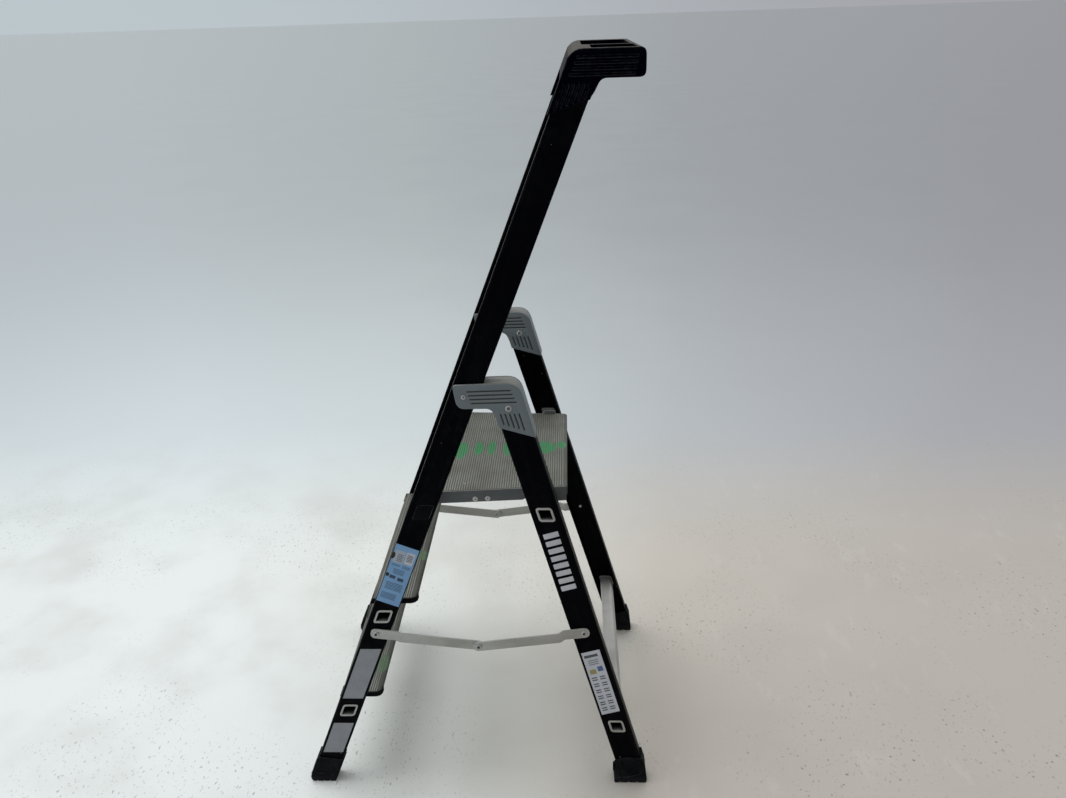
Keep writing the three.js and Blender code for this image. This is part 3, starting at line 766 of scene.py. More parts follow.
def smoothing() -> bpy.types.NodeTree:
    """Geometry nodes that shade smooth across gentle edges only.

    Returns:
        The node group for a modifier.
    """
    name = "shade_by_angle"
    if name in bpy.data.node_groups:
        return bpy.data.node_groups[name]
    tree = bpy.data.node_groups.new(name, "GeometryNodeTree")
    for way in ("INPUT", "OUTPUT"):
        tree.interface.new_socket("Geometry", in_out=way, socket_type="NodeSocketGeometry")
    start, end = tree.nodes.new("NodeGroupInput"), tree.nodes.new("NodeGroupOutput")
    drop = tree.nodes.new("GeometryNodeRemoveAttribute")
    drop.inputs["Name"].default_value = "custom_normal"
    faces = tree.nodes.new("GeometryNodeSetShadeSmooth")
    faces.domain = "FACE"
    angle = tree.nodes.new("GeometryNodeInputMeshEdgeAngle")
    sharp = tree.nodes.new("FunctionNodeCompare")
    sharp.data_type, sharp.operation = "FLOAT", "GREATER_THAN"
    sharp.inputs["B"].default_value = SHARP
    edges = tree.nodes.new("GeometryNodeSetShadeSmooth")
    edges.domain = "EDGE"
    edges.inputs["Shade Smooth"].default_value = False
    for source, target in (
        (start.outputs[0], drop.inputs[0]),
        (drop.outputs[0], faces.inputs[0]),
        (faces.outputs[0], edges.inputs[0]),
        (angle.outputs["Unsigned Angle"], sharp.inputs["A"]),
        (sharp.outputs[0], edges.inputs["Selection"]),
        (edges.outputs[0], end.inputs[0]),
    ):
        tree.links.new(source, target)
    return tree


def round_over(piece: bpy.types.Object, width: float, segments: int = 2) -> None:
    """Ease a piece's sharp edges with modifiers.

    Args:
        piece: The piece.
        width: Width of the eased edge, in metres.
        segments: Steps round each edge.
    """
    weld = piece.modifiers.new("weld", "WELD")
    weld.merge_threshold = 0.00002
    flat = piece.modifiers.new("flatten", "DECIMATE")
    flat.decimate_type, flat.angle_limit = "DISSOLVE", math.radians(0.5)
    ease = piece.modifiers.new("ease", "BEVEL")
    ease.width, ease.segments = width, segments
    ease.limit_method, ease.angle_limit = "ANGLE", math.radians(40.0)
    ease.use_clamp_overlap = True
    ease.miter_outer = "MITER_ARC"


def dress(node: str, finish: Finish, width: float = 0.0008, segments: int = 2) -> None:
    """Give a frame node its finish and eased edges.

    Args:
        node: Name of the node.
        finish: Its finish.
        width: Width of the eased edges; 0 leaves them.
        segments: Steps round each edge.
    """
    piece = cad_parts[node]
    piece.data.materials.clear()
    piece.data.materials.append(material(finish))
    if width > 0:
        round_over(piece, width, segments)
    piece.modifiers.new("shade", "NODES").node_group = smoothing()
    log.info("dressed %s in %s", node, finish.title)


def turned(profile: Sequence[Point], steps: int = 40) -> bmesh.types.BMesh:
    """Solid of revolution about local Z.

    Args:
        profile: Radius and height pairs; the first and last lie on the axis.
        steps: Number of steps round the axis.

    Returns:
        The closed mesh.
    """
    bm = bmesh.new()
    poles = [bm.verts.new((0.0, 0.0, profile[0][1])), bm.verts.new((0.0, 0.0, profile[-1][1]))]
    rings = []
    for radius, height in profile[1:-1]:
        turn = [2 * math.pi * i / steps for i in range(steps)]
        ring = [bm.verts.new((radius * math.cos(a), radius * math.sin(a), height)) for a in turn]
        rings.append(ring)
    for i in range(steps):
        j = (i + 1) % steps
        bm.faces.new((poles[0], rings[0][j], rings[0][i]))
        bm.faces.new((poles[1], rings[-1][i], rings[-1][j]))
        for low, high in zip(rings, rings[1:]):
            bm.faces.new((low[i], low[j], high[j], high[i]))
    bmesh.ops.recalc_face_normals(bm, faces=bm.faces)
    return bm


def rounded(corners: Sequence[Sequence[float]], steps: int = 5) -> list[Point]:
    """Outline whose corners are rounded.

    Args:
        corners: X, Z and an optional rounding of each corner.
        steps: Points along each rounded corner.

    Returns:
        The points of the closed outline.
    """
    line: list[Point] = []
    for index, corner in enumerate(corners):
        here = Vector(corner[:2])
        ease = corner[2] if len(corner) > 2 else 0.0
        if ease <= 0:
            line.append(tuple(here))
            continue
        before = Vector(corners[index - 1][:2])
        after = Vector(corners[(index + 1) % len(corners)][:2])
        start = here + (before - here).normalized() * ease
        end = here + (after - here).normalized() * ease
        for step in range(steps + 1):
            t = step / steps
            line.append(tuple(start * (1 - t) ** 2 + here * 2 * t * (1 - t) + end * t * t))
    return line


def slot_line(start: Point, end: Point, width: float, steps: int = 6) -> list[Point]:
    """Outline of a round-ended slot.

    Args:
        start: Centre of one round end.
        end: Centre of the other.
        width: Width of the slot.
        steps: Points along each round end.

    Returns:
        The points of the closed outline.
    """
    heading = math.atan2(end[1] - start[1], end[0] - start[0])
    line: list[Point] = []
    for centre, first in ((end, heading - math.pi / 2), (start, heading + math.pi / 2)):
        for step in range(steps + 1):
            angle = first + math.pi * step / steps
            line.append(
                (
                    centre[0] + math.cos(angle) * width / 2,
                    centre[1] + math.sin(angle) * width / 2,
                )
            )
    return line


def slab(
    outline: Sequence[Point],
    near: float,
    far: float,
    ease: float = 0.0008,
    holes: Sequence[Sequence[Point]] = (),
) -> bmesh.types.BMesh:
    """Flat plate with rounded rims, drawn against the web plane.

    Args:
        outline: Outer outline in X and Z.
        near: Depth of its outer face, measured inward from the web plane.
        far: Depth of its inner face.
        ease: Rounding of its rims.
        holes: Outlines cut through it.

    Returns:
        The closed plate in X, depth and Z.
    """
    curve = bpy.data.curves.new("slab", "CURVE")
    curve.dimensions, curve.fill_mode = "2D", "BOTH"
    curve.extrude = max((far - near) / 2 - ease, 0.00001)
    curve.bevel_depth, curve.bevel_resolution, curve.offset = ease, 2, -ease
    for loop in (outline, *holes):
        spline = curve.splines.new("POLY")
        spline.points.add(len(loop) - 1)
        for point, (x, z) in zip(spline.points, loop):
            point.co = (x, z, 0.0, 1.0)
        spline.use_cyclic_u = True
    holder = bpy.data.objects.new("slab", curve)
    bm = bmesh.new()
    bm.from_mesh(holder.to_mesh())
    holder.to_mesh_clear()
    bpy.data.objects.remove(holder)
    bpy.data.curves.remove(curve)
    bmesh.ops.remove_doubles(bm, verts=bm.verts, dist=0.00001)
    middle = (near + far) / 2
    for vert in bm.verts:
        vert.co = (vert.co.x, middle - vert.co.z, vert.co.y)
    return bm


def joined(parts: Iterable[bmesh.types.BMesh]) -> bmesh.types.BMesh:
    """Gather several meshes in one; the parts are freed."""
    whole = bmesh.new()
    for part in parts:
        mesh = bpy.data.meshes.new("part")
        part.to_mesh(mesh)
        part.free()
        whole.from_mesh(mesh)
        bpy.data.meshes.remove(mesh)
    return whole


def on_level_side(bm: bmesh.types.BMesh, side: Side, half: float) -> bmesh.types.BMesh:
    """Move a piece drawn as X, depth and Z against an upright plane.

    Args:
        bm: The piece.
        side: Side of the ladder.
        half: Distance of the plane from the middle.

    Returns:
        The same mesh, moved.
    """
    for vert in bm.verts:
        vert.co.y = side.value * (half - vert.co.y)
    bmesh.ops.recalc_face_normals(bm, faces=bm.faces)
    return bm


def on_side(bm: bmesh.types.BMesh, side: Side) -> bmesh.types.BMesh:
    """Move a piece drawn as X, depth and Z against one web plane."""
    for vert in bm.verts:
        x, depth, z = vert.co
        vert.co = side.web(x, z, -depth)
    bmesh.ops.recalc_face_normals(bm, faces=bm.faces)
    return bm


def finished(
    name: str,
    bm: bmesh.types.BMesh,
    finish: Finish,
    body: str,
    replaces: Iterable[str] = (),
) -> bpy.types.Object:
    """Turn a mesh into a piece that rides on the frame.

    Args:
        name: Name of the piece.
        bm: Its mesh, in the ladder's frame; it is freed here.
        finish: Its finish.
        body: Frame body that it rides on.
        replaces: Frame nodes that it stands for.

    Returns:
        The piece.
    """
    mesh = bpy.data.meshes.new(name)
    bm.to_mesh(mesh)
    bm.free()
    mesh.materials.append(material(finish))
    piece = bpy.data.objects.new(name, mesh)
    bpy.context.scene.collection.objects.link(piece)
    mesh.shade_smooth()
    mesh.set_sharp_from_angle(angle=SHARP)
    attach(piece, body)
    if replaces:
        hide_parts(*replaces)
    log.info("built %s on %s", name, body)
    return piece


# ------------------------------------------------------------------ sub-assemblies

ZINC = ZincSteel("bright zinc")
BLACK_MOULDING = Moulding(
    "black moulding",
    colour=(0.0004, 0.0006, 0.0032),
    edge_colour=(0.055, 0.058, 0.070),
    dust=(0.080, 0.076, 0.070),
    dusting=0.95,
    specular=0.008,
    scuffing=0.03,
)
TRIM = Moulding(
    "black trim",
    colour=(0.0030, 0.0032, 0.0042),
    edge_colour=(0.03, 0.03, 0.032),
    dust=(0.040, 0.040, 0.038),
    dusting=0.5,
    specular=0.03,
)


@dataclass
class Channels:
    """The two stiles with their platform hinges, and the two rear legs."""

    ease: float = 0.0011
    paint: dict[str, PowderCoat] = field(
        default_factory=lambda: {
            "stile": PowderCoat("powder coat, front frame", STILE.lean),
            "rear_leg": PowderCoat("powder coat, rear frame", LEG.lean),
        }
    )

    def build(self) -> None:
        """Dress the channels."""
        for side in Side:
            for member, coat in self.paint.items():
                dress(f"{member}_{side.word}", coat, self.ease, 3)
            dress(f"hinge_block_{side.word}", TRIM, 0.0008)
            dress(f"hinge_pin_{side.word}", ZINC, 0.0006)


@dataclass
class Steps:
    """The two treads, their tubes and end trims, and the two rear cross tubes."""

    faded_green: Colour = (0.075, 0.125, 0.070)
    smudges: dict[str, Spot] = field(
        default_factory=lambda: {
            "tread_1": (-0.226, -0.143, 0.016, 0.034),
            "tread_2": (-0.12, -0.06, 0.02, 0.02),
        }
    )
    # The tubes' bores get painted shade inside.
    tube: DullAluminium = DullAluminium(
        "tube metal", grain=(1.0, 0.10, 1.0), dirt=0.2, bore_shade_reach=0.05
    )

    def build(self) -> None:
        """Dress treads, trims and tubes."""
        tubes = ["rear_tube_lower", "rear_tube_upper"]
        for name, smudge in self.smudges.items():
            metal = DeckMetal(
                f"{name} metal",
                top=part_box(name)[1].z,
                paint_colour=self.faded_green,
                marks=(smudge,),
            )
            dress(name, metal, 0.0007)
            tubes.append(f"{name}_tube")
            for side in Side:
                dress(f"{name}_cap_{side.word}", TRIM, 0.0005)
        for name in tubes:
            dress(name, self.tube, 0.0009, 3)


@dataclass
class TrayCap:
    """The moulded tray cap, with a ribbed cheek on each side."""

    half: float = 0.203
    proud: float = 0.0012
    rows: int = 4
    ribs: int = 6

    def cheek_line(self) -> list[Point]:
        """Outline of a cheek: the side of the tray and the sleeve down the stile."""
        return rounded(
            [
                STILE.at(-0.0305, 1.4548),
                STILE.at(-0.0305, 1.5450),
                (0.2425, 1.5694, 0.014),
                (0.3604, 1.5694, 0.011),
                (0.3604, 1.5236, 0.011),
                (0.2860, 1.5236, 0.010),
                (*STILE.at(0.0305, 1.5140), 0.004),
                (*STILE.at(0.0280, 1.5050), 0.003),
                STILE.at(0.0280, 1.5005),
            ]
        )

    def grooves(self) -> list[list[Point]]:
        """Outlines of the level grooves of the tray and the long ones of the sleeve."""
        lines = []
        for row in range(self.rows):
            height = 1.5568 - row * 0.0092
            left, right = 0.2470 - row * 0.0042, 0.3470 - row * 0.0020
            lines.append(slot_line((left, height), (right, height), 0.0044))
        for rib in range(self.ribs):
            across = -0.0225 + rib * 0.0082
            lift = across * math.sin(STILE.lean)
            low, high = 1.4760 + rib * 0.0033 + lift, 1.5125 + lift
            lines.append(slot_line(STILE.at(across, low), STILE.at(across, high), 0.0042))
        return lines

    def build(self) -> None:
        """Dress the cap and build its cheeks."""
        dress("top_cap", BLACK_MOULDING, 0.0)
        for side in Side:
            cheek = slab(self.cheek_line(), -self.proud, 0.0003, 0.0003, self.grooves())
            floor = slab(self.cheek_line(), -0.0002, 0.0003, 0.0001)
            bm = on_level_side(joined([cheek, floor]), side, self.half)
            name = f"cap_cheek_{side.word}"
            finished(name, bm, BLACK_MOULDING, "front_frame")


@dataclass
class Brackets:
    """The two moulded folding brackets, each a pair of slotted cheeks on a solid core."""

    cheek: float = 0.0046
    play: float = 0.0016
    slot_depth: float = 0.0014
    slot_width: float = 0.0030
    rows: int = 4
    drops: int = 5
    plastic: Moulding = Moulding(
        "grey moulding",
        colour=(0.145, 0.174, 0.190),
        edge_colour=(0.24, 0.26, 0.26),
        dust=(0.19, 0.185, 0.165),
        dusting=0.8,
        gloss=0.5,
        mottle=0.25,
        # Depth of the slot floors, which get painted shade.
        hollow=0.0060,
    )

    def cheek_line(self) -> list[Point]:
        """Outline of a cheek: an arm over the stile and a leg over the rear leg."""
        return rounded(
            [
                (0.001, 0.981, 0.008),
                (0.129, 0.984, 0.026),
                LEG.at(0.0315, 0.862),
                LEG.at(-0.031, 0.900),
                (*LEG.at(-0.031, 0.922), 0.007),
                (0.074, 0.932, 0.011),
                (0.008, 0.932, 0.016),
            ]
        )

    def core_line(self) -> list[Point]:
        """Outline of the solid part that the stile swings clear of."""
        return rounded(
            [
                (0.062, 0.9815),
                (0.129, 0.984, 0.026),
                LEG.at(0.0315, 0.862),
                LEG.at(-0.031, 0.900),
                (*LEG.at(-0.031, 0.922), 0.007),
                (0.074, 0.932, 0.008),
                (0.0578, 0.932),
                (0.0525, 0.958),
            ]
        )

    def slots(self) -> list[list[Point]]:
        """Outlines of the long slots along the arm and the short ones down the leg."""
        lines = []
        for row in range(self.rows):
            height = 0.9672 - row * 0.0080
            left, right = 0.0305 + row * 0.0022, 0.112 + row * 0.0036
            lines.append(slot_line((left, height), (right, height + 0.0016), self.slot_width))
        for drop in range(self.drops):
            top, length = 0.092 + drop * 0.009, 0.021 + drop * 0.003
            end = (top + length * 0.28, 0.920 - length)
            lines.append(slot_line((top, 0.920), end, self.slot_width))
        return lines

    def build(self) -> None:
        """Build both brackets."""
        outer = -self.play - self.cheek
        inner = CHANNEL_DEPTH + self.play + self.cheek
        for side in Side:
            line, slots = self.cheek_line(), self.slots()
            parts = [
                slab(line, outer, -self.play, 0.0010, slots),
                slab(line, outer + self.slot_depth, -self.play - 0.0001, 0.0002),
                slab(self.core_line(), -0.0030, CHANNEL_DEPTH + 0.0030, 0.0004),
                slab(line, inner - self.cheek + 0.0001, inner - self.slot_depth, 0.0002),
                slab(line, inner - self.cheek, inner, 0.0010, slots),
            ]
            name = f"bracket_{side.word}"
            bm = on_side(joined(parts), side)
            finished(f"{name}_moulding", bm, self.plastic, "rear_frame", [name])


@dataclass
class Platform:
    """The hinged standing platform."""

    plates: Moulding = Moulding(
        "dark grey moulding",
        colour=(0.105, 0.117, 0.121),
        edge_colour=(0.17, 0.175, 0.17),
        dust=(0.13, 0.128, 0.115),
        dusting=0.8,
        gloss=0.5,
    )
    marks: tuple[Spot, ...] = (
        (-0.022, -0.010, 0.018, 0.040),
        (0.018, 0.000, 0.012, 0.036),
        (0.047, 0.002, 0.010, 0.038),
        (0.085, 0.000, 0.012, 0.038),
        (0.165, 0.000, 0.030, 0.030),
        (0.205, 0.012, 0.012, 0.018),
    )

    def build(self) -> None:
        """Dress deck and side plates."""
        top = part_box("platform_deck")[1].z
        deck = DeckMetal("deck metal", top=top, marks=self.marks)
        dress("platform_deck", deck, 0.0005)
        for side in Side:
            dress(f"platform_side_{side.word}", self.plates, 0.0009, 3)


@dataclass
class Spreaders:
    """The four flat spreader bars."""

    bar: DullAluminium = DullAluminium(
        "bar metal", metal=(0.42, 0.42, 0.395), grain=(0.1, 1.0, 1.0), dirt=0.2
    )

    def build(self) -> None:
        """Dress the bars."""
        for side in Side:
            for end in ("front", "rear"):
                dress(f"spreader_{end}_{side.word}", self.bar, 0.0007, 2)


@dataclass(frozen=True)
class ShoeShape:
    """Outlines of one kind of shoe, all seen from the side."""

    end: str
    skin: tuple[tuple[float, ...], ...]
    field: tuple[tuple[float, ...], ...]
    sole: tuple[tuple[float, ...], ...]
    front_wall: tuple[Point, ...]
    back_wall: tuple[Point, ...]
    inside: tuple[tuple[float, ...], ...]
    lugs: tuple[Point, ...]


FRONT_SHOE = ShoeShape(
    end="front",
    skin=(
        (-0.391, 0.014, 0.003),
        (-0.3895, 0.003, 0.003),
        (-0.3325, 0.003, 0.002),
        STILE.at(0.0296, 0.030),
        STILE.at(0.0296, 0.096),
        STILE.at(0.0272, 0.096),
        (*STILE.at(0.0262, 0.072), 0.003),
        (*STILE.at(0.000, 0.067), 0.010),
        STILE.at(-0.0295, 0.060),
    ),
    field=(
        (-0.3815, 0.0255, 0.002),
        (-0.3565, 0.0215, 0.004),
        (-0.3395, 0.0165, 0.002),
        (-0.3265, 0.0530, 0.003),
        (-0.3460, 0.0620, 0.004),
        (-0.3640, 0.0640, 0.003),
    ),
    sole=(
        (-0.391, 0.0145, 0.003),
        (-0.3895, 0.003, 0.002),
        (-0.3330, 0.003, 0.002),
        (-0.3275, 0.0165),
        (-0.3885, 0.0185),
    ),
    front_wall=(
        STILE.at(-0.0305, 0.008),
        STILE.at(-0.0272, 0.008),
        STILE.at(-0.0272, 0.060),
        STILE.at(-0.0295, 0.060),
    ),
    back_wall=(
        STILE.at(0.0271, 0.020),
        STILE.at(0.0296, 0.020),
        STILE.at(0.0296, 0.074),
        STILE.at(0.0271, 0.074),
    ),
    inside=(
        (-0.3885, 0.003, 0.002),
        (-0.3330, 0.003, 0.002),
        STILE.at(0.0296, 0.030),
        STILE.at(0.0296, 0.074),
        (*STILE.at(0.000, 0.058), 0.010),
        STILE.at(-0.0295, 0.060),
    ),
    lugs=((-0.3870, -0.3790), (-0.3745, -0.3645), (-0.3600, -0.3500), (-0.3455, -0.3340)),
)
REAR_SHOE = ShoeShape(
    end="rear",
    skin=(
        (0.3170, 0.003, 0.002),
        (0.3900, 0.003, 0.002),
        (0.3905, 0.010, 0.003),
        (0.3865, 0.046, 0.003),
        LEG.at(0.0325, 0.064),
        LEG.at(0.0285, 0.063),
        (*LEG.at(0.000, 0.074), 0.014),
        LEG.at(-0.0305, 0.073),
        LEG.at(-0.0305, 0.024),
        (0.3180, 0.0125, 0.002),
    ),
    field=(
        (0.3360, 0.0150, 0.002),
        (0.3560, 0.0185, 0.003),
        (0.3765, 0.0260, 0.002),
        (0.3690, 0.0590, 0.003),
        (0.3500, 0.0660, 0.006),
        (0.3255, 0.0600, 0.003),
    ),
    sole=(
        (0.3155, 0.003, 0.002),
        (0.3900, 0.003, 0.002),
        (0.3905, 0.010, 0.002),
        (0.3890, 0.0155),
        (0.3330, 0.0155),
        (0.3160, 0.0115, 0.002),
    ),
    front_wall=(
        LEG.at(-0.0305, 0.020),
        LEG.at(-0.0293, 0.020),
        LEG.at(-0.0293, 0.060),
        LEG.at(-0.0305, 0.060),
    ),
    back_wall=(
        (0.3895, 0.008),
        (0.3865, 0.046),
        LEG.at(0.0330, 0.064),
        LEG.at(0.0293, 0.064),
        LEG.at(0.0293, 0.020),
    ),
    inside=(
        (0.3140, 0.003, 0.002),
        (0.3900, 0.003, 0.002),
        (0.3865, 0.046, 0.003),
        LEG.at(0.0330, 0.064),
        LEG.at(-0.0100, 0.060),
        (0.3240, 0.0300, 0.002),
        (0.3140, 0.0300, 0.002),
    ),
    lugs=((0.3165, 0.3255), (0.3325, 0.3455), (0.3525, 0.3655), (0.3725, 0.3885)),
)


@dataclass
class Shoes:
    """The four moulded rubber shoes."""

    outside: float = -0.0030
    inside: float = 0.0310
    wall: float = 0.0027
    shapes: tuple[ShoeShape, ...] = (FRONT_SHOE, REAR_SHOE)
    rubber: ShoeRubber = ShoeRubber("shoe rubber")

    def parts(self, shape: ShoeShape) -> list[bmesh.types.BMesh]:
        """Make the plates of one shoe.

        Args:
            shape: Its outlines.

        Returns:
            Skin with a sunk field, sole, walls, inner cheek and tread lugs.
        """
        out, back = self.outside, self.inside
        skin, field_line = rounded(shape.skin), rounded(shape.field)
        made = [
            slab(skin, out, -0.0004, 0.0007, [field_line]),
            slab(skin, out + 0.0014, -0.0005, 0.0002),
            slab(rounded(shape.sole), out + 0.0004, back - 0.0004, 0.0010),
            slab(shape.front_wall, -0.0006, back - 0.0010, 0.0003),
            slab(shape.back_wall, -0.0006, back - 0.0010, 0.0003),
            slab(rounded(shape.inside), back - self.wall, back, 0.0008),
        ]
        for left, right in shape.lugs:
            lug = [(left, 0.0), (right, 0.0), (right, 0.0045), (left, 0.0045)]
            made.append(slab(lug, out + 0.0006, back - 0.0006, 0.0005))
        return made

    def build(self) -> None:
        """Build the shoes."""
        for side in Side:
            for shape in self.shapes:
                node = f"{shape.end}_foot_{side.word}"
                bm = on_side(joined(self.parts(shape)), side)
                body = f"{shape.end}_frame"
                finished(f"{node}_shoe", bm, self.rubber, body, [node])


@dataclass(frozen=True)
class RivetHead:
    """A domed head with a dimple."""

    radius: float
    height: float
    dimple: float
    shank: float
    behind: float = 0.0  # from its top to the top of its twin on the inner face; 0 for none

    def profile(self) -> list[Point]:
        """Radius and height pairs from the tip of the shank outward."""
        dome = [
            (self.radius * math.sin(a), self.height * 0.25 + self.height * 0.75 * math.cos(a))
            for a in (math.radians(90 - 11 * i) for i in range(7))
            if self.radius * math.sin(a) > self.dimple * 1.25
        ]
        stem = max(self.radius * 0.42, self.dimple + 0.0005)
        sunk = -min(0.0030, self.shank * 0.7)
        return [
            (0.0, -self.shank),
            (stem, -self.shank),
            (stem, 0.0),
            (self.radius * 0.96, 0.0),
            *dome,
            (self.dimple * 1.15, self.height * 0.94),
            (self.dimple, self.height * 0.80),
            (self.dimple * 0.9, sunk * 0.8),
            (0.0, sunk),
        ]


@dataclass
class Fasteners:
    """Rivets and screws, each with a turned head in place of its plain node."""

    pivot: RivetHead = RivetHead(0.0046, 0.0012, 0.0020, 0.030)
    screw: RivetHead = RivetHead(0.0064, 0.0022, 0.0035, 0.006, 0.0448)
    end_rivet: RivetHead = RivetHead(0.0062, 0.0024, 0.0030, 0.008)
    middle_rivet: RivetHead = RivetHead(0.0072, 0.0024, 0.0034, 0.003, 0.0116)
    stud: RivetHead = RivetHead(0.0058, 0.0018, 0.0014, 0.003)

    def fit(self, head: RivetHead, node: str, outward: Vector, body: str) -> None:
        """Build one turned head, and its twin on the inner face when it has one.

        Args:
            head: Its size.
            node: Frame node that it replaces.
            outward: Direction that the head faces.
            body: Frame body that it rides on.
        """
        low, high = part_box(node)
        middle = (low + high) / 2
        face = high.y if outward.y > 0 else low.y
        profile = head.profile()
        top = max(height for _, height in profile)
        bm = turned(profile)
        turn = Vector((0, 0, 1)).rotation_difference(outward).to_matrix().to_4x4()
        seat = Vector((middle.x, face, middle.z)) - outward * top
        bmesh.ops.transform(bm, matrix=Matrix.Translation(seat) @ turn, verts=bm.verts)
        if head.behind > 0:
            back = turned(profile)
            spot = Vector((middle.x, face, middle.z)) - outward * (head.behind - top)
            place = Matrix.Translation(spot) @ turn @ Matrix.Rotation(math.pi, 4, "X")
            bmesh.ops.transform(back, matrix=place, verts=back.verts)
            bm = joined([bm, back])
        finished(f"{node}_head", bm, ZINC, body, [node])

    def build(self) -> None:
        """Build every head."""
        for side in Side:
            word, out = side.word, side.outward
            level = Vector((0.0, side.value, 0.0))
            self.fit(self.pivot, f"fold_rivet_{word}", out, "front_frame")
            self.fit(self.screw, f"bracket_screw_{word}", out, "rear_frame")
            for end in ("front", "rear"):
                node = f"spreader_rivet_{end}_{word}"
                self.fit(self.end_rivet, node, level, f"{end}_frame")
            node = f"spreader_rivet_middle_{word}"
            self.fit(self.middle_rivet, node, level, f"spreader_rear_{word}")
            for number in (1, 2):
                self.fit(self.stud, f"platform_rivet_{word}_{number}", level, "platform")


@dataclass
class Labels:
    """The film labels on the right-hand stile and leg."""

    def build(self) -> None:
        """Dress the labels."""
        lean = STILE.lean
        grey = FilmLabel("grey film", lean=lean, film=(0.262, 0.275, 0.302), wear=0.45)
        dress("label_stile_low", grey, 0.0)
        dress("label_stile_mid", grey, 0.0)
        blue = FilmLabel(
            "blue film",
            lean=lean,
            centre=STILE.at(-0.0005, 0.5555),
            film=(0.185, 0.365, 0.62),
            blocks=(
                Block((-0.021, 0.001), (0.030, 0.060), (0.40, 0.43, 0.48)),
                Block((0.003, 0.021), (0.032, 0.062), (0.52, 0.54, 0.58)),
                Block((0.006, 0.018), (0.040, 0.058), (0.015, 0.015, 0.02), 5),
                Block((-0.014, -0.002), (0.034, 0.054), (0.10, 0.11, 0.13), 5),
                Block((-0.020, -0.002), (0.022, 0.027), (0.04, 0.08, 0.16), 2),
                Block((0.003, 0.020), (0.020, 0.028), (0.04, 0.08, 0.16), 3),
                Block((-0.012, 0.012), (0.003, 0.017), (0.03, 0.07, 0.14), 5),
                Block((-0.016, -0.003), (-0.010, -0.002), (0.01, 0.02, 0.05)),
                Block((0.002, 0.015), (-0.012, -0.004), (0.01, 0.02, 0.05)),
                Block((-0.018, 0.018), (-0.038, -0.018), (0.03, 0.07, 0.14), 6),
                Block((-0.020, 0.012), (-0.062, -0.046), (0.035, 0.075, 0.15), 5),
            ),
            wear=0.3,
            chips=((-0.0245, 0.044, 0.006, 0.010), (-0.021, -0.004, 0.004, 0.005)),
        )
        dress("label_stile_high", blue, 0.0)
        white = FilmLabel(
            "white film",
            lean=LEG.lean,
            centre=LEG.at(-0.003, 0.2815),
            film=(0.56, 0.59, 0.65),
            blocks=(
                Block((-0.017, 0.013), (0.070, 0.077), (0.02, 0.02, 0.025)),
                Block((-0.012, 0.010), (0.050, 0.066), (0.17, 0.18, 0.20), 3),
                Block((0.003, 0.015), (0.030, 0.043), (0.03, 0.08, 0.28)),
                Block((-0.015, -0.001), (0.026, 0.038), (0.30, 0.25, 0.05)),
                *(
                    Block((u, u + 0.012), (v, v + 0.012), (0.008, 0.008, 0.012), 2)
                    for v in (0.008, -0.009, -0.026, -0.043, -0.060, -0.076)
                    for u in (-0.016, 0.002)
                ),
            ),
            wear=0.3,
        )
        dress("label_leg", white, 0.0)
        self.mark_leg()

    def mark_leg(self) -> None:
        """Put a row of plain pale bars on the right-hand leg."""
        low, high, count = 0.520, 0.662, 8
        left, right = -0.019, 0.013
        pitch = (high - low) / count
        bars = []
        for index in range(count):
            bottom = low + index * pitch
            top = bottom + pitch * 0.66
            square = ((left, bottom), (right, bottom), (right, top), (left, top))
            line = rounded([(*LEG.at(u, z), 0.0015) for u, z in square])
            bars.append(slab(line, -0.0004, 0.0, 0.00012))
        bm = on_side(joined(bars), Side.RIGHT)
        paint = FilmLabel("white bars", lean=LEG.lean, film=(0.56, 0.57, 0.62), wear=0.25)
        finished("leg_marking_right", bm, paint, "rear_frame")


# ------------------------------------------------------------------ studio


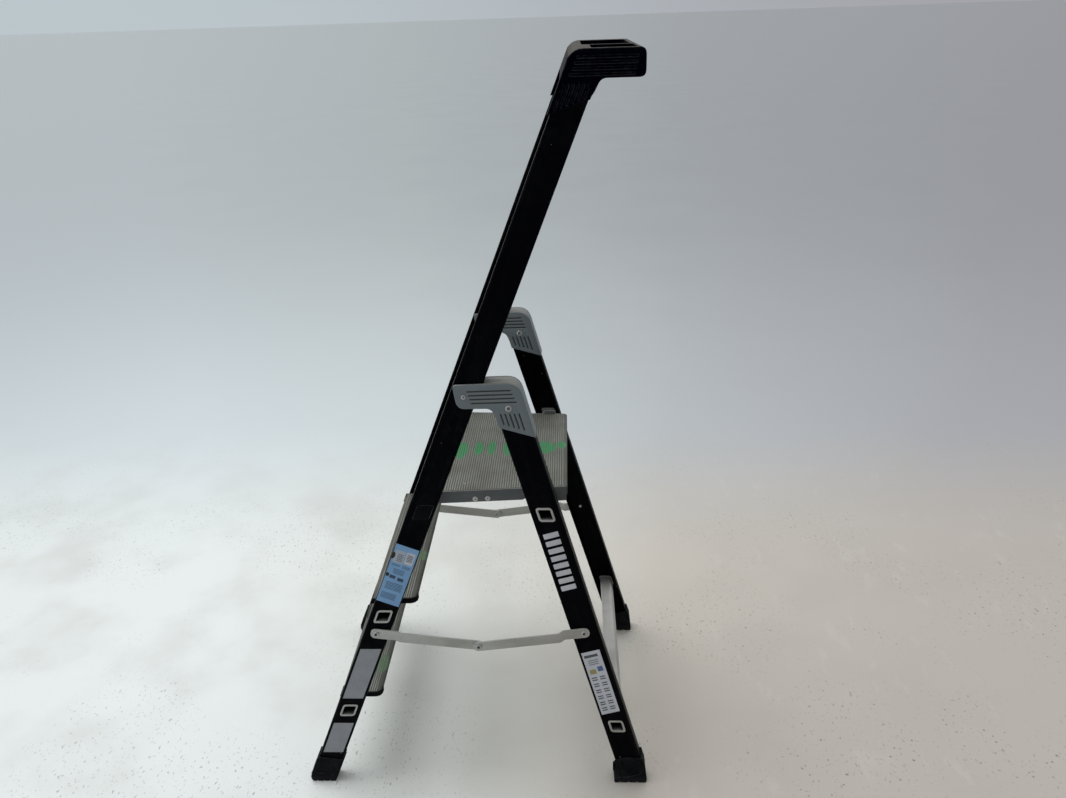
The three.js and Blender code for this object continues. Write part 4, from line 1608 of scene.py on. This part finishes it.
@dataclass
class Studio:
    """Floor, soft light and camera."""

    eye: Vector = field(default_factory=lambda: Vector((0.22788, -1.73436, 1.63026)))
    yaw: float = -0.04812
    pitch: float = 0.42434
    roll: float = -0.03375
    lens: float = 29.0835
    floor_size: float = 900.0

    def build(self) -> None:
        """Set up floor, world, lamps and camera."""
        self.lay_floor()
        self.light_world()
        self.hang_lamps()
        self.set_camera()

    def lay_floor(self) -> None:
        """Lay a large level floor."""
        bm = bmesh.new()
        bmesh.ops.create_grid(bm, x_segments=8, y_segments=8, size=self.floor_size / 2)
        mesh = bpy.data.meshes.new("floor")
        bm.to_mesh(mesh)
        bm.free()
        mesh.materials.append(material(StudioFloor("studio floor")))
        floor = bpy.data.objects.new("floor", mesh)
        bpy.context.scene.collection.objects.link(floor)

    def light_world(self) -> None:
        """Pale surroundings: bright above, behind and to the left, dim at the front."""
        world = bpy.data.worlds.new("studio")
        bpy.context.scene.world = world
        shader = Shader(world)
        way = shader.node("ShaderNodeTexCoord", output="Generated")
        split = shader.node("ShaderNodeSeparateXYZ", inputs={0: way})
        x, y, z = (Sock(shader, split.socket.node.outputs[i]) for i in range(3))
        front = y.rise(0.25, -0.65)
        left = x.rise(0.3, -0.9)
        strength = 0.70 - front * 0.58 + left * 0.30 + z.rise(0.0, 1.0) * 0.35
        sky = {"Color": (0.98, 0.99, 1.0), "Strength": strength}
        lit = shader.node("ShaderNodeBackground", inputs=sky)
        # Painted light: the backdrop seen by the camera is graded brighter and cooler at the
        # left.
        tone = shader.mix(x.rise(-0.45, 0.5), (0.50, 0.565, 0.60), (0.365, 0.365, 0.395))
        seen = shader.node("ShaderNodeBackground", inputs={"Color": tone, "Strength": 1.0})
        ray = shader.node("ShaderNodeLightPath", output="Is Camera Ray")
        both = shader.node("ShaderNodeMixShader", inputs={0: ray, 1: lit, 2: seen})
        shader.finish_with(both, "ShaderNodeOutputWorld")

    def hang_lamps(self) -> None:
        """Hang two large soft lamps, the stronger one at the left."""
        for name, place, size, power, colour in (
            ("key", Vector((-1.1, 0.3, 3.7)), 1.9, 66.0, (0.97, 0.99, 1.0)),
            ("fill", Vector((1.2, 1.8, 3.8)), 3.0, 14.0, (1.0, 0.98, 0.96)),
        ):
            lamp = bpy.data.lights.new(name, "AREA")
            lamp.size, lamp.energy, lamp.color = size, power, colour
            holder = bpy.data.objects.new(name, lamp)
            bpy.context.scene.collection.objects.link(holder)
            holder.location = place
            aim = Vector((0.0, 0.0, 0.6)) - place
            holder.rotation_euler = aim.to_track_quat("-Z", "Y").to_euler()

    def set_camera(self) -> None:
        """Place the camera at a standing person's eye."""
        data = bpy.data.cameras.new("camera")
        data.sensor_width, data.lens = 36.0, self.lens
        data.clip_start, data.clip_end = 0.05, 200.0
        camera = bpy.data.objects.new("camera", data)
        bpy.context.scene.collection.objects.link(camera)
        ahead = Vector(
            (
                math.sin(self.yaw) * math.cos(self.pitch),
                math.cos(self.yaw) * math.cos(self.pitch),
                -math.sin(self.pitch),
            )
        )
        right = ahead.cross(Vector((0, 0, 1))).normalized()
        up = right.cross(ahead)
        cos, sin = math.cos(self.roll), math.sin(self.roll)
        side, top = right * cos + up * sin, up * cos - right * sin
        turn = Matrix((side, top, -ahead)).transposed()
        camera.matrix_world = Matrix.Translation(self.eye) @ turn.to_4x4()
        bpy.context.scene.camera = camera
        bpy.context.scene.view_settings.view_transform = "Standard"


def main() -> None:
    """Build and dress every sub-assembly, then the studio."""
    logging.basicConfig(level=logging.INFO, format="%(name)s: %(message)s")
    for part in (
        Channels(),
        Steps(),
        TrayCap(),
        Brackets(),
        Platform(),
        Spreaders(),
        Shoes(),
        Fasteners(),
        Labels(),
        Studio(),
    ):
        part.build()


if __name__ == "__main__":
    main()
